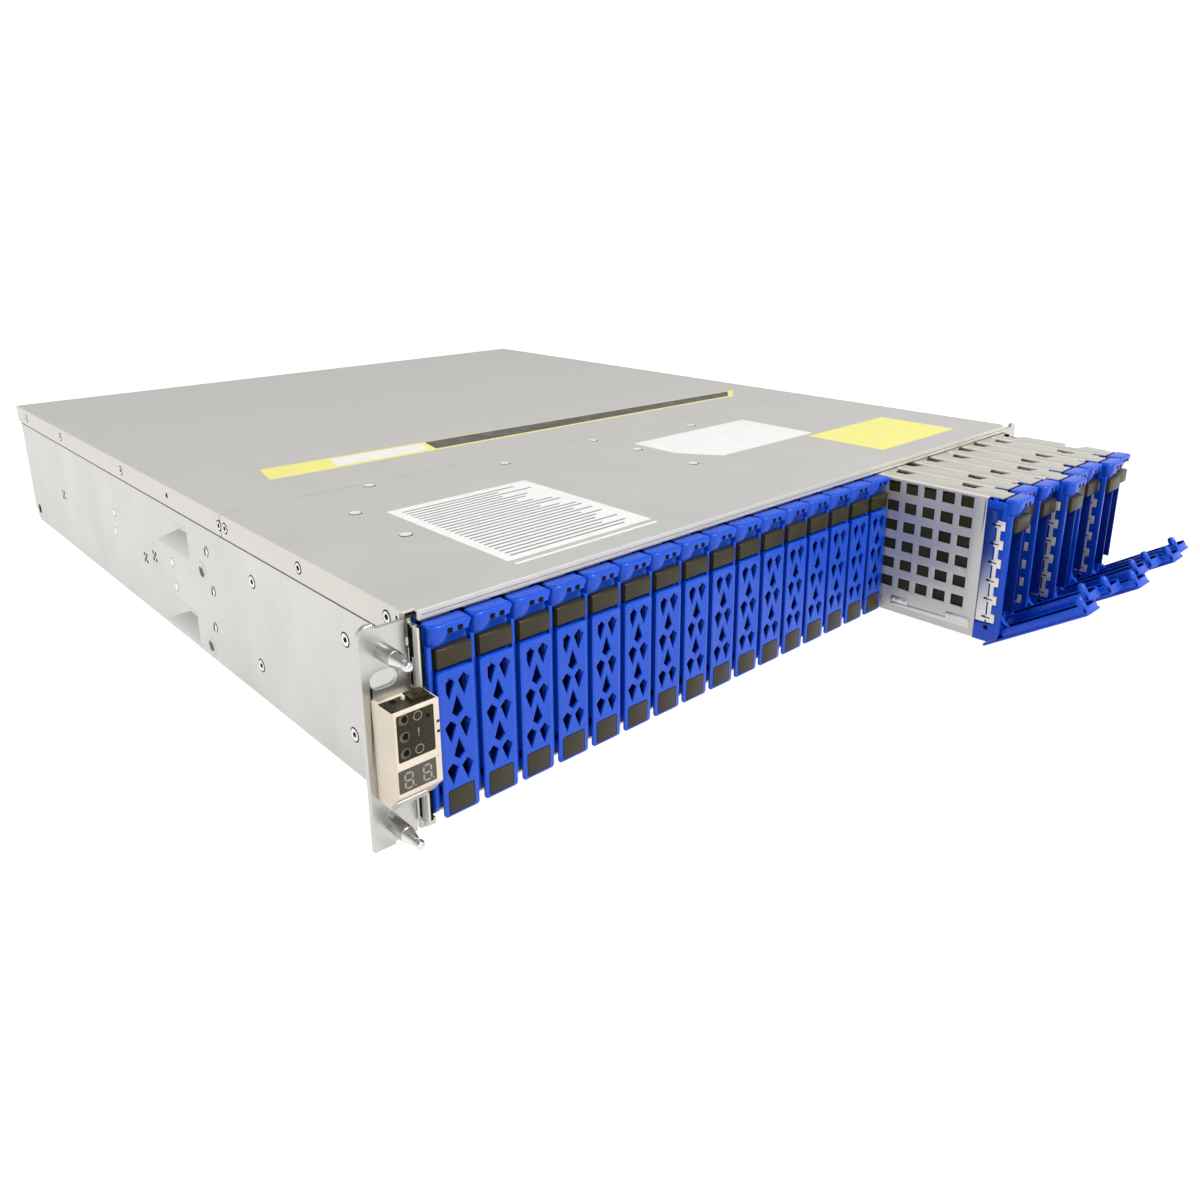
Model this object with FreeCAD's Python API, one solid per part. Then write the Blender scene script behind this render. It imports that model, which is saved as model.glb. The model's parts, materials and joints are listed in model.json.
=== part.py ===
import FreeCAD, Part
import math
import os

from FreeCAD import Vector

# All-flash storage array: a two-unit rack chassis with a row of upright drive carriers.
# Millimetres. Origin on the underside, in the middle of the body; the front faces -Y, +Z is up.

# Chassis body
body_width = 447.0
body_depth = 530.0
body_height = 85.5
sheet = 1.2
cover_clearance = 0.1
cover_flange = 11.5
cover_seam = 160.0
seam_gap = 0.8
lip_height = 4.2
lip_gap = 0.5
lip_inset = 4.5
corner_notch = 2.6
sill_height = 2.6
rear_chamfer = 8.0

# Dents pressed into the side walls, deepest towards the front
dent_start = 211.0
dent_length = 48.0
dent_crease_length = 18.0
dent_height = 18.5
dent_crease_height = 12.5
dent_depth = 3.0
dent_rise = 2.5
dent_pitch = 46.3

# Rack ears
ear_reach = 17.8
ear_setback = 2.6
ear_plate = 2.0
ear_corner_radius = 4.0
ear_drop = 2.5
ear_foot_drop = 1.0
ear_foot_width = 9.0
ear_step_width = 6.3
ear_step_height = 1.9
ear_leg = 1.0
ear_leg_length = 140.0
ear_leg_margin = 6.0
ear_wall_gap = 0.3
ear_slit = 1.1
ear_slit_height = 12.5
ear_lower_slit_height = 24.0
jamb_width = 1.8
jamb_proud = 3.6
jamb_margin = 1.6
rack_slot_inset = 8.75
rack_slot_length = 10.4
rack_slot_height = 6.6
rack_slot_drop = 22.3

# Studs that carry a clip-on front
stud_radius = 3.0
stud_shoulder = 0.2
stud_neck_radius = 1.6
stud_tip_radius = 0.9
stud_cylinder = 9.0
stud_cone = 7.0
stud_tip = 2.6
stud_sides = 8
stud_rise = 4.9
stud_drop = 11.9

# Status display on the left ear
display_inset = 3.1
display_rise = 24.5
display_height = 32.5
display_proud = 14.6
display_slope = 6.6
display_foot = 6.9
display_wall = 1.3
display_well_depth = 1.6
display_jamb_gap = 0.5
panel_side = 1.6
panel_depth = 1.0
panel_margin = 1.7
panel_gap = 3.1
window_height = 8.8
bracket_sheet = 1.0
bracket_inset = 0.7

# Drive bays and carriers
bay_pitch = 18.3
cage_gap = 0.4
side_gap = 0.35
carrier_rise = 4.4
arc_steps = 2
bezel_proud = 7.4
bezel_depth = 15.7
post_setback = 2.2
bezel_wall = 1.7
bezel_back = 1.8
bezel_corner = 6.0
bezel_back_rise = 10.6
right_wall = 1.2
right_wall_depth = 7.7
right_wall_reach = 4.6
right_wall_margin = 0.7
window_columns = 2
window_rows = 1
window_rib = 2.2
cap_height = 9.0
cap_depth = 5.4
cap_bevel = 1.4
cap_scoop = 3.8
cap_waist_depth = 1.2
cap_waist_height = 5.6
cap_waist_margin = 1.4
latch_width = 14.8
latch_height = 7.9
latch_setback = 0.6
latch_chamfer = 0.8
latch_gap = 0.3

# Lever
lever_left_gap = 0.3
lever_right_gap = 0.05
lever_bottom_gap = 0.2
lever_latch_gap = 0.4
lever_plate = 1.7
lever_open_angle = 56.5
rail_width = 1.2
rail_depth = 3.6
rail_inset = 0.7
rib_width = 1.6
pivot_setback = 9.2
pivot_rise = 7.8
pin_radius = 1.0
pin_clearance = 0.1
pin_sides = 6
knuckle_wall = 1.5
lug_radius = 2.5
lug_width = 1.5
lug_gap = 0.3
hook_length = 8.1
hook_width = 6.0
kite_width = 4.8
kite_height = 8.8
kite_shoulder = 2.3
kite_offset = 3.25
kite_row_pitch = 17.15
kite_top_margin = 2.7
kite_between = 7.8
kite_rows = 3
toe_room_left = 0.5
toe_room_right = 0.35
toe_room_depth = 4.4

# Tray and drive
tray_sheet = 0.6
tray_length = 125.3
tray_width = 16.15
tray_left_gap = 0.4
tray_bottom_gap = 0.2
drive_length = 100.2
drive_thickness = 15.0
drive_gap = 2.575

# Conductive gasket on the bezel
gasket_thickness = 0.3
gasket_width = 3.6
gasket_setback = 6.3
gasket_bottom_margin = 10.4
gasket_top_margin = 0.6

# How far the last carriers of the row stand out of their bays
pulled_out = (69.7, 63.4, 66.9, 73.4, 67.1, 67.3, 72.0, 69.0)

# Guides and midplane
guide_front_gap = 0.5
guide_gap = 0.4
guide_rib = 0.9
guide_rib_height = 4.0
midplane_thickness = 3.2
midplane_gap = 0.4
connector_room = 7.4

# Rear modules
module_gap = 0.4
module_wall = 1.2
module_front_gap = 13.4
module_margin = 6.0
rear_block = 16.0
dent_clearance = 1.5
power_width = 79.9
power_recess = 72.0
port_depth = 9.0
port_count = 4
port_width = 19.0
port_height = 9.0
port_pitch = 24.0
jack_count = 2
jack_width = 12.0
jack_height = 11.0
jack_pitch = 16.0
cam_handle_length = 62.0
cam_handle_height = 9.0
cam_handle_depth = 5.0
fan_radius = 21.0
fan_sides = 24
fan_depth = 6.0
guard_bar = 1.6
inlet_width = 20.0
inlet_height = 27.0
inlet_depth = 14.0
pull_handle_width = 44.0
pull_handle_depth = 14.0
pull_handle_bar = 4.0

# Places worked out from the sizes above
front = -body_depth / 2
rear = body_depth / 2
half_width = body_width / 2
cover_under = body_height - sheet
wall_outer = half_width - sheet - cover_clearance
wall_inner = wall_outer - sheet
leg_inner = wall_inner - ear_leg
ear_outer = half_width + ear_reach
ear_front = front + ear_setback
ear_back = ear_front + ear_plate
ear_top = cover_under - cover_clearance
ear_bottom = -ear_drop
wall_start = ear_back + ear_wall_gap
jamb_left = -leg_inner - jamb_width
rack_slot_x = ear_outer - rack_slot_inset
rack_slot_z = body_height - rack_slot_drop
stud_heights = (stud_rise, body_height - stud_drop)

bay_count = int((2 * (leg_inner - cage_gap)) / bay_pitch + 0.001)
bays_left = -bay_count * bay_pitch / 2
seated_bays = bay_count - len(pulled_out)
carrier_bottom = carrier_rise
carrier_top = body_height - lip_height - lip_gap
bezel_left = side_gap
bezel_right = bay_pitch - side_gap
bezel_front = -bezel_proud
bezel_rear = bezel_front + bezel_depth
bezel_inner_rear = bezel_rear - bezel_back
back_bottom = carrier_bottom + bezel_back_rise
post_front = bezel_front + post_setback
cap_bottom = carrier_top - cap_height
cap_rear = bezel_front + cap_depth
flange_under = carrier_top - tray_sheet
latch_front = bezel_front + latch_setback
latch_top = cap_bottom - latch_gap
latch_bottom = latch_top - latch_height
lever_left = bezel_left + bezel_wall + lever_left_gap
lever_right = bezel_right - lever_right_gap
lever_middle = (lever_left + lever_right) / 2
lever_bottom = carrier_bottom + lever_bottom_gap
lever_top = latch_bottom - lever_latch_gap
lever_inside = bezel_front + lever_plate
rail_left = lever_left + rail_inset
rail_right = bezel_right - lug_width - lug_gap
pivot_y = bezel_front + pivot_setback
pivot_z = carrier_bottom + pivot_rise
tray_left = bezel_left + tray_left_gap
tray_right = tray_left + tray_width
tray_bottom = carrier_bottom + tray_bottom_gap
tray_rear = bezel_rear + tray_length
drive_left = tray_left + tray_sheet
midplane_front = front + tray_rear + midplane_gap + connector_room
midplane_rear = midplane_front + midplane_thickness

module_start = midplane_rear + module_front_gap
power_right = wall_inner - dent_depth - dent_clearance
power_left = power_right - power_width
partition_right = power_left - module_gap
partition_left = partition_right - sheet
controller_half = partition_left - module_gap
shelf_bottom = cover_under / 2
module_bottom = sheet + module_gap
module_top = cover_under - module_gap


def box(x0, x1, y0, y1, z0, z1):
    """A block between two corners."""
    return Part.makeBox(x1 - x0, y1 - y0, z1 - z0, Vector(x0, y0, z0))


def polygon_face(points):
    """A flat face from corner points in order."""
    return Part.Face(Part.makePolygon(points + points[:1]))


def prism_x(points, x0, x1):
    """A YZ outline pushed from x0 to x1."""
    return polygon_face([Vector(x0, y, z) for y, z in points]).extrude(Vector(x1 - x0, 0, 0))


def prism_y(points, y0, y1):
    """An XZ outline pushed from y0 to y1."""
    return polygon_face([Vector(x, y0, z) for x, z in points]).extrude(Vector(0, y1 - y0, 0))


def prism_z(points, z0, z1):
    """An XY outline pushed from z0 to z1."""
    return polygon_face([Vector(x, y, z0) for x, y in points]).extrude(Vector(0, 0, z1 - z0))


def arc(a, b, radius, start, end, steps):
    """Points along an arc about (a, b), both ends included; angles in degrees."""
    angles = [math.radians(start + (end - start) * i / steps) for i in range(steps + 1)]
    return [(a + radius * math.cos(angle), b + radius * math.sin(angle)) for angle in angles]


def ring_of_points(a, b, radius, sides):
    """The corners of a regular polygon about (a, b), with a flat side towards +a."""
    start = -180 / sides
    return arc(a, b, radius, start, start + 360, sides)[:-1]


def cylinder_y(x, z, radius, y0, y1):
    return Part.makeCylinder(radius, y1 - y0, Vector(x, y0, z), Vector(0, 1, 0))


def slot_y(x, z, length, height, y0, y1):
    """A round-ended slot through a plate that faces the front."""
    half = (length - height) / 2
    middle = box(x - half, x + half, y0, y1, z - height / 2, z + height / 2)
    ends = [cylinder_y(x + side * half, z, height / 2, y0, y1) for side in (-1, 1)]
    return middle.multiFuse(ends).removeSplitter()


def mirrored(shape):
    """The same shape on the other side of the body."""
    return shape.mirror(Vector(0, 0, 0), Vector(1, 0, 0))


def both_sides(shape):
    """A shape and its mirror image."""
    return [shape, mirrored(shape)]


def save(name, solids):
    """Write one node: a single solid, or several separate ones."""
    shape = solids[0] if len(solids) == 1 else Part.makeCompound(solids)
    shape.exportStep(os.path.join("parts", name + ".step"))


# Chassis: folded tub with pressed dents, front sill, rear partitions and the controllers' shelf
def dent(x, bottom):
    """The space of one pressed dent, inward from the plane x: two slopes that meet in a crease."""
    y0 = front + dent_start
    y1 = y0 + dent_length
    low_front = Vector(x, y0, bottom)
    top_front = Vector(x, y0, bottom + dent_height)
    low_rear = Vector(x, y1, bottom)
    top_rear = Vector(x, y1, bottom + dent_height)
    crease_front = Vector(x + dent_depth, y0, bottom + dent_crease_height)
    crease_rear = Vector(x + dent_depth, y0 + dent_crease_length, bottom + dent_crease_height)
    faces = [
        [low_front, top_front, top_rear, low_rear],
        [low_front, crease_front, top_front],
        [low_front, low_rear, crease_rear],
        [low_front, crease_rear, crease_front],
        [top_front, crease_front, crease_rear],
        [top_front, crease_rear, top_rear],
        [low_rear, top_rear, crease_rear],
    ]
    return Part.Solid(Part.Shell([polygon_face(points) for points in faces]))


def chassis_tub():
    section = [
        (-wall_outer, 0), (wall_outer, 0), (wall_outer, cover_under), (wall_inner, cover_under),
        (wall_inner, sheet), (-wall_inner, sheet), (-wall_inner, cover_under), (-wall_outer, cover_under),
    ]
    sill = [
        (front, 0), (wall_start, 0), (wall_start, sheet),
        (front + sheet, sheet), (front + sheet, sill_height), (front, sill_height),
    ]
    shelf_top = shelf_bottom + sheet
    frame = [
        (-partition_right, sheet), (-partition_left, sheet), (-partition_left, shelf_bottom),
        (partition_left, shelf_bottom), (partition_left, sheet), (partition_right, sheet),
        (partition_right, cover_under), (partition_left, cover_under), (partition_left, shelf_top),
        (-partition_left, shelf_top), (-partition_left, cover_under), (-partition_right, cover_under),
    ]
    tub = prism_y(section, wall_start, rear)
    corner = [(rear - rear_chamfer, 0), (rear, 0), (rear, rear_chamfer)]
    tub = tub.cut(prism_x(corner, -wall_outer, wall_outer))
    for bottom in (dent_rise, dent_rise + dent_pitch):
        for bulge, hollow in zip(both_sides(dent(-wall_inner, bottom)), both_sides(dent(-wall_outer, bottom))):
            tub = tub.fuse(bulge).cut(hollow)
    pieces = [prism_x(sill, -leg_inner, leg_inner), prism_y(frame, module_start, rear - rear_chamfer)]
    return tub.multiFuse(pieces).cut(Part.makeCompound(toe_notches())).removeSplitter()


def toe_notches():
    """Notches in the sill that the levers' lower ends swing through, with a tab left between neighbours."""
    notches = []
    for bay in range(bay_count):
        x = bays_left + bay * bay_pitch
        notches.append(box(x + lever_left - toe_room_left, x + lever_right + toe_room_right,
                           front, front + toe_room_depth, 0, sill_height))
    return notches


def drive_guides():
    """A comb on the floor, whose ribs stand between neighbouring bays, and a plain plate overhead."""
    y0, y1 = front + bezel_rear + guide_front_gap, front + tray_rear
    lower = tray_bottom - guide_gap
    section = [(bays_left, sheet), (bays_left, lower)]
    for i in range(1, bay_count):
        x = bays_left + i * bay_pitch
        left, right = x - guide_rib / 2, x + guide_rib / 2
        rib_top = lower + guide_rib_height
        section += [(left, lower), (left, rib_top), (right, rib_top), (right, lower)]
    section += [(-bays_left, lower), (-bays_left, sheet)]
    plate = box(bays_left, -bays_left, y0, y1, carrier_top + guide_gap, cover_under)
    return [prism_y(section, y0, y1), plate]


# Covers
def cover(y0, y1):
    """A folded cover: top and two side flanges."""
    flange_bottom = body_height - cover_flange
    inner = half_width - sheet
    section = [
        (-half_width, flange_bottom), (-inner, flange_bottom), (-inner, cover_under), (inner, cover_under),
        (inner, flange_bottom), (half_width, flange_bottom), (half_width, body_height),
        (-half_width, body_height),
    ]
    return prism_y(section, y0, y1)


def front_cover():
    lip_end = half_width - lip_inset
    lip = box(-lip_end, lip_end, front, front + sheet, body_height - lip_height, cover_under)
    ear_room = box(-half_width, -half_width + sheet, front, wall_start, body_height - cover_flange, cover_under)
    notch = box(-half_width, -lip_end, front, front + corner_notch, cover_under, body_height)
    cuts = both_sides(ear_room) + both_sides(notch)
    return cover(front, front + cover_seam).cut(Part.makeCompound(cuts)).fuse(lip).removeSplitter()


def rear_cover():
    return cover(front + cover_seam + seam_gap, rear)


# Rack ears, studs and status display
def left_ear():
    outer = -ear_outer
    foot = outer + ear_foot_width
    step = outer + ear_step_width
    outline = [
        (outer, ear_bottom - ear_foot_drop), (foot, ear_bottom - ear_foot_drop), (foot, ear_bottom),
        (-leg_inner, ear_bottom), (-leg_inner, ear_top - ear_step_height), (step, ear_top - ear_step_height),
        (step, ear_top),
    ]
    r = ear_corner_radius
    outline += arc(outer + r, ear_top - r, r, 90, 180, 2 * arc_steps)
    plate = prism_y(outline, ear_front, ear_back)
    slit = jamb_left - ear_slit
    cuts = [
        slot_y(-rack_slot_x, rack_slot_z, rack_slot_length, rack_slot_height, ear_front, ear_back),
        box(slit, jamb_left, ear_front, ear_back, ear_top - ear_slit_height, ear_top),
        box(slit, jamb_left, ear_front, ear_back, ear_bottom, ear_lower_slit_height),
    ]
    jamb = box(jamb_left, -leg_inner, ear_front - jamb_proud, ear_front, jamb_margin, carrier_top)
    leg_end = front + ear_leg_length
    leg = box(-wall_inner, -leg_inner, ear_back, leg_end, ear_leg_margin, ear_top - ear_leg_margin)
    return plate.cut(Part.makeCompound(cuts)).multiFuse([jamb, leg]).removeSplitter()


def tapered_y(x, z, y0, radius0, y1, radius1):
    """A many-sided taper between two radii, along Y."""
    near = [Vector(a, y0, b) for a, b in ring_of_points(x, z, radius0, stud_sides)]
    far = [Vector(a, y1, b) for a, b in ring_of_points(x, z, radius1, stud_sides)]
    faces = [polygon_face(near), polygon_face(far)]
    for i in range(stud_sides):
        faces.append(polygon_face([near[i - 1], near[i], far[i], far[i - 1]]))
    return Part.Solid(Part.Shell(faces))


def stud(x, z):
    """A turned stud: a plain cylinder, a taper and a rounded tip."""
    shoulder = ear_front - stud_cylinder
    neck = shoulder - stud_cone
    taper = tapered_y(x, z, shoulder, stud_radius - stud_shoulder, neck, stud_neck_radius)
    tip = tapered_y(x, z, neck, stud_neck_radius, neck - stud_tip, stud_tip_radius)
    return cylinder_y(x, z, stud_radius, shoulder, ear_front).multiFuse([taper, tip])


def bezel_studs():
    return [stud(side * rack_slot_x, z) for side in (-1, 1) for z in stud_heights]


def display_module():
    """A moulded housing on the left ear, two dark panels let into its face and a bracket below."""
    x0, x1 = -ear_outer + display_inset, -leg_inner
    y0, y1 = ear_front - display_proud, ear_front
    z0, z1 = display_rise, display_rise + display_height
    foot = z0 - display_foot
    outline = [(y0, z0), (y0 + display_slope, foot), (y1, foot), (y1, z1), (y0, z1)]
    well = box(x0 + display_wall, x1 - display_wall, y0 + display_wall, y1, z1 - display_well_depth, z1)
    jamb_side = jamb_left - display_jamb_gap
    jamb_room = box(jamb_side, x1, y1 - jamb_proud - display_jamb_gap, y1, foot, z1)
    window_top = z0 + panel_margin + window_height
    panels = [
        box(x0 + panel_side, x1 - panel_side, y0, y0 + panel_depth, z0 + panel_margin, window_top),
        box(x0 + panel_side, x1 - panel_side, y0, y0 + panel_depth, window_top + panel_gap, z1 - panel_margin),
    ]
    housing = prism_x(outline, x0, x1).cut(Part.makeCompound([well, jamb_room] + panels))
    bracket = box(x0 + bracket_inset, jamb_side, y0 + display_slope, y1, foot - bracket_sheet, foot)
    return [housing] + panels + [bracket]


# Drive carrier, in its own bay: x from the bay's left side, y from the chassis lip, z from the underside.
# The bays repeat, so their rounded edges are drawn with few facets.
def bezel_side():
    """Left side of the bezel: set back from the cap's face and higher behind the cap."""
    corner = arc(post_front + bezel_corner, carrier_bottom + bezel_corner, bezel_corner, 180, 270, arc_steps)
    top = [(bezel_rear, flange_under), (cap_rear, flange_under), (cap_rear, cap_bottom), (post_front, cap_bottom)]
    outline = top + corner + [(bezel_rear, carrier_bottom)]
    return prism_x(outline, bezel_left, bezel_left + bezel_wall)


def bezel_cap():
    """Top of the bezel: bevelled front edge, concave finger scoop below and a waisted right side."""
    scoop = arc(bezel_front, cap_bottom, cap_scoop, 90, 0, arc_steps)
    edge = [(bezel_front + cap_bevel, carrier_top), (bezel_front, carrier_top - cap_bevel)]
    outline = [(cap_rear, cap_bottom), (cap_rear, carrier_top)] + edge + scoop
    half = cap_waist_height / 2
    radius = (half ** 2 + cap_waist_depth ** 2) / (2 * cap_waist_depth)
    spread = math.degrees(math.asin(half / radius))
    x, z = bezel_right + radius - cap_waist_depth, cap_bottom + cap_waist_margin + half
    waist = arc(x, z, radius, 180 - spread, 180 + spread, arc_steps)
    cap = prism_x(outline, bezel_left, bezel_right)
    return cap.cut(prism_y(waist, bezel_front, cap_rear))


def bezel_back_wall():
    """Rear and right walls of the bezel in one fold, with air windows in the rear."""
    left = bezel_left + bezel_wall
    side = bezel_right - right_wall
    section = [
        (left, bezel_inner_rear), (side, bezel_inner_rear), (side, bezel_rear - right_wall_depth),
        (bezel_right, bezel_rear - right_wall_depth), (bezel_right, bezel_rear), (left, bezel_rear),
    ]
    wall = prism_z(section, back_bottom, flange_under)
    width = (side - left - window_rib * (window_columns + 1)) / window_columns
    height = (latch_bottom - back_bottom - window_rib * (window_rows + 1)) / window_rows
    windows = []
    for column in range(window_columns):
        x = left + window_rib + column * (width + window_rib)
        for row in range(window_rows):
            z = back_bottom + window_rib + row * (height + window_rib)
            windows.append(box(x, x + width, bezel_inner_rear, bezel_rear, z, z + height))
    return wall.cut(Part.makeCompound(windows))


def pivot_lug():
    """Rounded arm on the right that reaches forward to the pivot and up to the rear wall."""
    nose = arc(pivot_y, pivot_z, lug_radius, 90, 270, arc_steps + 1)
    bottom = pivot_z - lug_radius
    outline = nose + [(bezel_rear, bottom), (bezel_rear, back_bottom), (bezel_inner_rear, back_bottom)]
    outline.append((bezel_inner_rear, pivot_z + lug_radius))
    return prism_x(outline, bezel_right - lug_width, bezel_right)


def pivot_pin():
    """The lever's pin, moulded in one with the bezel."""
    return prism_x(ring_of_points(pivot_y, pivot_z, pin_radius, pin_sides), bezel_left, bezel_right)


def right_wall_front():
    """The right wall's forward part, above the lever's knuckle and below the latch."""
    seat = bezel_rear - right_wall_depth
    return box(bezel_right - right_wall, bezel_right, seat - right_wall_reach, seat,
               pivot_z + pivot_setback / 2, latch_bottom - right_wall_margin)


def bezel():
    pieces = [bezel_cap(), bezel_back_wall(), right_wall_front(), pivot_lug(), pivot_pin()]
    return bezel_side().multiFuse(pieces).removeSplitter()


def latch():
    """Release button between the cap and the lever, seated against the right wall's front edge."""
    c = latch_chamfer
    seat = bezel_rear - right_wall_depth
    outline = [
        (latch_front + c, latch_bottom), (seat, latch_bottom), (seat, latch_top),
        (latch_front + c, latch_top), (latch_front, latch_top - c), (latch_front, latch_bottom + c),
    ]
    return prism_x(outline, lever_right - latch_width, lever_right)


def tray():
    """Folded sheet tray: a side plate and two flanges, the top one running on over the bezel to its cap."""
    inner = tray_left + tray_sheet
    section = [
        (tray_left, tray_bottom), (tray_right, tray_bottom), (tray_right, tray_bottom + tray_sheet),
        (inner, tray_bottom + tray_sheet), (inner, flange_under), (tray_right, flange_under),
        (tray_right, carrier_top), (tray_left, carrier_top),
    ]
    tongue = box(tray_left, tray_right, cap_rear, bezel_rear, flange_under, carrier_top)
    return prism_y(section, bezel_rear, tray_rear).fuse(tongue).removeSplitter()


def flash_drive():
    """Solid-state drive standing on edge against the tray's side plate."""
    margin = tray_sheet + drive_gap
    return box(drive_left, drive_left + drive_thickness, tray_rear - drive_length, tray_rear,
               tray_bottom + margin, carrier_top - margin)


def gasket():
    """Spring strip on the outside of the bezel."""
    y0 = bezel_front + gasket_setback
    return box(bezel_left - gasket_thickness, bezel_left, y0, y0 + gasket_width,
               carrier_bottom + gasket_bottom_margin, cap_bottom - gasket_top_margin)


def carrier():
    return [bezel(), tray(), flash_drive(), gasket(), latch()]


# Lever: a patterned face plate with two rails, a cross rib, a hook and a knuckle on the pivot pin
def kite(x, top, points_down):
    """A kite standing on its long point, or the same kite turned over."""
    half = kite_width / 2
    shoulder = top - (kite_shoulder if points_down else kite_height - kite_shoulder)
    return [(x, top), (x + half, shoulder), (x, top - kite_height), (x - half, shoulder)]


def kite_row_top(row):
    return lever_top - kite_top_margin - row * kite_row_pitch


def lever_face():
    """Face plate with pairs of kites and a single kite between the pairs."""
    kites = []
    for row in range(kite_rows):
        top = kite_row_top(row)
        kites += [kite(lever_middle + side * kite_offset, top, True) for side in (-1, 1)]
        if row < kite_rows - 1:
            kites.append(kite(lever_middle, top - kite_between, False))
    openings = [prism_y(points, bezel_front, lever_inside) for points in kites]
    plate = box(lever_left, lever_right, bezel_front, lever_inside, lever_bottom, lever_top)
    return plate.cut(Part.makeCompound(openings))


def lever_frame():
    """Behind the face: a rounded knuckle, two rails that rise from it, a top rib and the hook."""
    y0, y1 = lever_inside, lever_inside + rail_depth
    radius = pin_radius + pin_clearance + knuckle_wall
    knuckle = [(y0, pivot_z + radius)] + arc(pivot_y, pivot_z, radius, 90, -90, pin_sides // 2)
    knuckle.append((y0, pivot_z - radius))
    pieces = [prism_x(knuckle, rail_left, rail_right)]
    for x in (rail_left, rail_right - rail_width):
        pieces.append(box(x, x + rail_width, y0, y1, pivot_z + radius, lever_top))
    pieces.append(box(rail_left, rail_right, y0, y1, lever_top - rib_width, lever_top))
    hook_right, hook_end = rail_left + hook_width, y0 + hook_length
    pieces.append(box(rail_left, hook_right, y0, hook_end, lever_top - rib_width, lever_top))
    return pieces


def lever():
    bore_radius = (pin_radius + pin_clearance) / math.cos(math.pi / pin_sides)
    bore = prism_x(ring_of_points(pivot_y, pivot_z, bore_radius, pin_sides), bezel_left, bezel_right)
    return lever_face().multiFuse(lever_frame()).cut(bore).removeSplitter()


def place_in_bay(solids, bay):
    """Copies of a carrier's solids moved to their bay, as far out as that bay's carrier stands."""
    pull = pulled_out[bay - seated_bays] if bay >= seated_bays else 0.0
    move = Vector(bays_left + bay * bay_pitch, front - pull, 0)
    return [solid.translated(move) for solid in solids]


# Midplane: the board that the drives and the rear modules plug into
def midplane():
    return [box(bays_left, -bays_left, midplane_front, midplane_rear, sheet, cover_under - sheet)]


# Rear modules: folded canisters, open at their inner end, with a thick connector face at the rear
def canister(x0, x1, y0, z0, z1):
    wall = module_wall
    inside = box(x0 + wall, x1 - wall, y0, rear - rear_block, z0 + wall, z1 - wall)
    return box(x0, x1, y0, rear, z0, z1).cut(inside)


def port(x, z, width, height, depth):
    """The space of one socket in the rear face, centred on x and z."""
    return box(x - width / 2, x + width / 2, rear - depth, rear, z - height / 2, z + height / 2)


def controller_ports(z):
    """A row of cable ports in the middle and network jacks beside it."""
    middle = (port_count - 1) / 2
    first_jack = -(port_count * port_pitch + jack_count * jack_pitch) / 2
    ports = [port((i - middle) * port_pitch, z, port_width, port_height, port_depth) for i in range(port_count)]
    for i in range(jack_count):
        ports.append(port(first_jack - i * jack_pitch, z, jack_width, jack_height, port_depth))
    return ports


def controller(z0, z1):
    body = canister(-controller_half, controller_half, module_start, z0, z1)
    body = body.cut(Part.makeCompound(controller_ports((z0 + z1) / 2)))
    end = controller_half - module_margin
    bottom = z0 + module_margin / 2
    tip = rear + cam_handle_depth
    handle = box(end - cam_handle_length, end, rear, tip, bottom, bottom + cam_handle_height)
    return [body] + both_sides(handle)


def fan_guard(x, z):
    """A cross over the fan opening, level with the rear face."""
    half = guard_bar / 2
    reach = fan_radius * math.cos(math.pi / fan_sides)
    upright = box(x - half, x + half, rear - guard_bar, rear, z - reach, z + reach)
    across = box(x - reach, x + reach, rear - guard_bar, rear, z - half, z + half)
    return upright.fuse(across).removeSplitter()


def pull_handle(x, top):
    """A bail of square bar that stands off the rear face."""
    half = pull_handle_width / 2
    inner = half - pull_handle_bar
    reach = rear + pull_handle_depth
    grip = reach - pull_handle_bar
    section = [
        (x - half, rear), (x - inner, rear), (x - inner, grip), (x + inner, grip),
        (x + inner, rear), (x + half, rear), (x + half, reach), (x - half, reach),
    ]
    return prism_z(section, top - pull_handle_bar, top)


def power_supply():
    """The right-hand supply: canister with fan opening, power inlet, fan guard and handle."""
    fan_x = power_right - module_margin / 2 - fan_radius
    fan_z = (module_bottom + module_top) / 2
    inlet_x = power_left + module_margin / 2 + inlet_width / 2
    inlet_z = module_bottom + module_margin + inlet_height / 2
    cuts = [
        prism_y(ring_of_points(fan_x, fan_z, fan_radius, fan_sides), rear - fan_depth, rear),
        port(inlet_x, inlet_z, inlet_width, inlet_height, inlet_depth),
    ]
    body = canister(power_left, power_right, module_start + power_recess, module_bottom, module_top)
    body = body.cut(Part.makeCompound(cuts))
    handle = pull_handle((power_left + power_right) / 2, module_top - module_margin)
    return [body, fan_guard(fan_x, fan_z), handle]


os.makedirs("parts", exist_ok=True)

save("chassis_base", [chassis_tub()])
save("front_top_cover", [front_cover()])
save("rear_top_cover", [rear_cover()])
save("rack_ears", both_sides(left_ear()))
save("bezel_studs", bezel_studs())
save("display_module", display_module())
save("drive_guides", drive_guides())
save("midplane_board", midplane())
save("controller_lower", controller(module_bottom, shelf_bottom - module_gap))
save("controller_upper", controller(shelf_bottom + sheet + module_gap, module_top))
right_supply = power_supply()
save("power_supply_right", right_supply)
save("power_supply_left", [mirrored(solid) for solid in right_supply])

in_carrier = carrier()
closed_lever = lever()
open_lever = closed_lever.rotated(Vector(0, pivot_y, pivot_z), Vector(1, 0, 0), lever_open_angle)
for bay in range(bay_count):
    number = "%02d" % (bay + 1)
    save("drive_carrier_" + number, place_in_bay(in_carrier, bay))
    save("drive_lever_" + number, place_in_bay([open_lever if bay >= seated_bays else closed_lever], bay))
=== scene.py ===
import json
import math
import random

import bmesh
import bpy
from mathutils import Matrix, Vector


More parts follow.
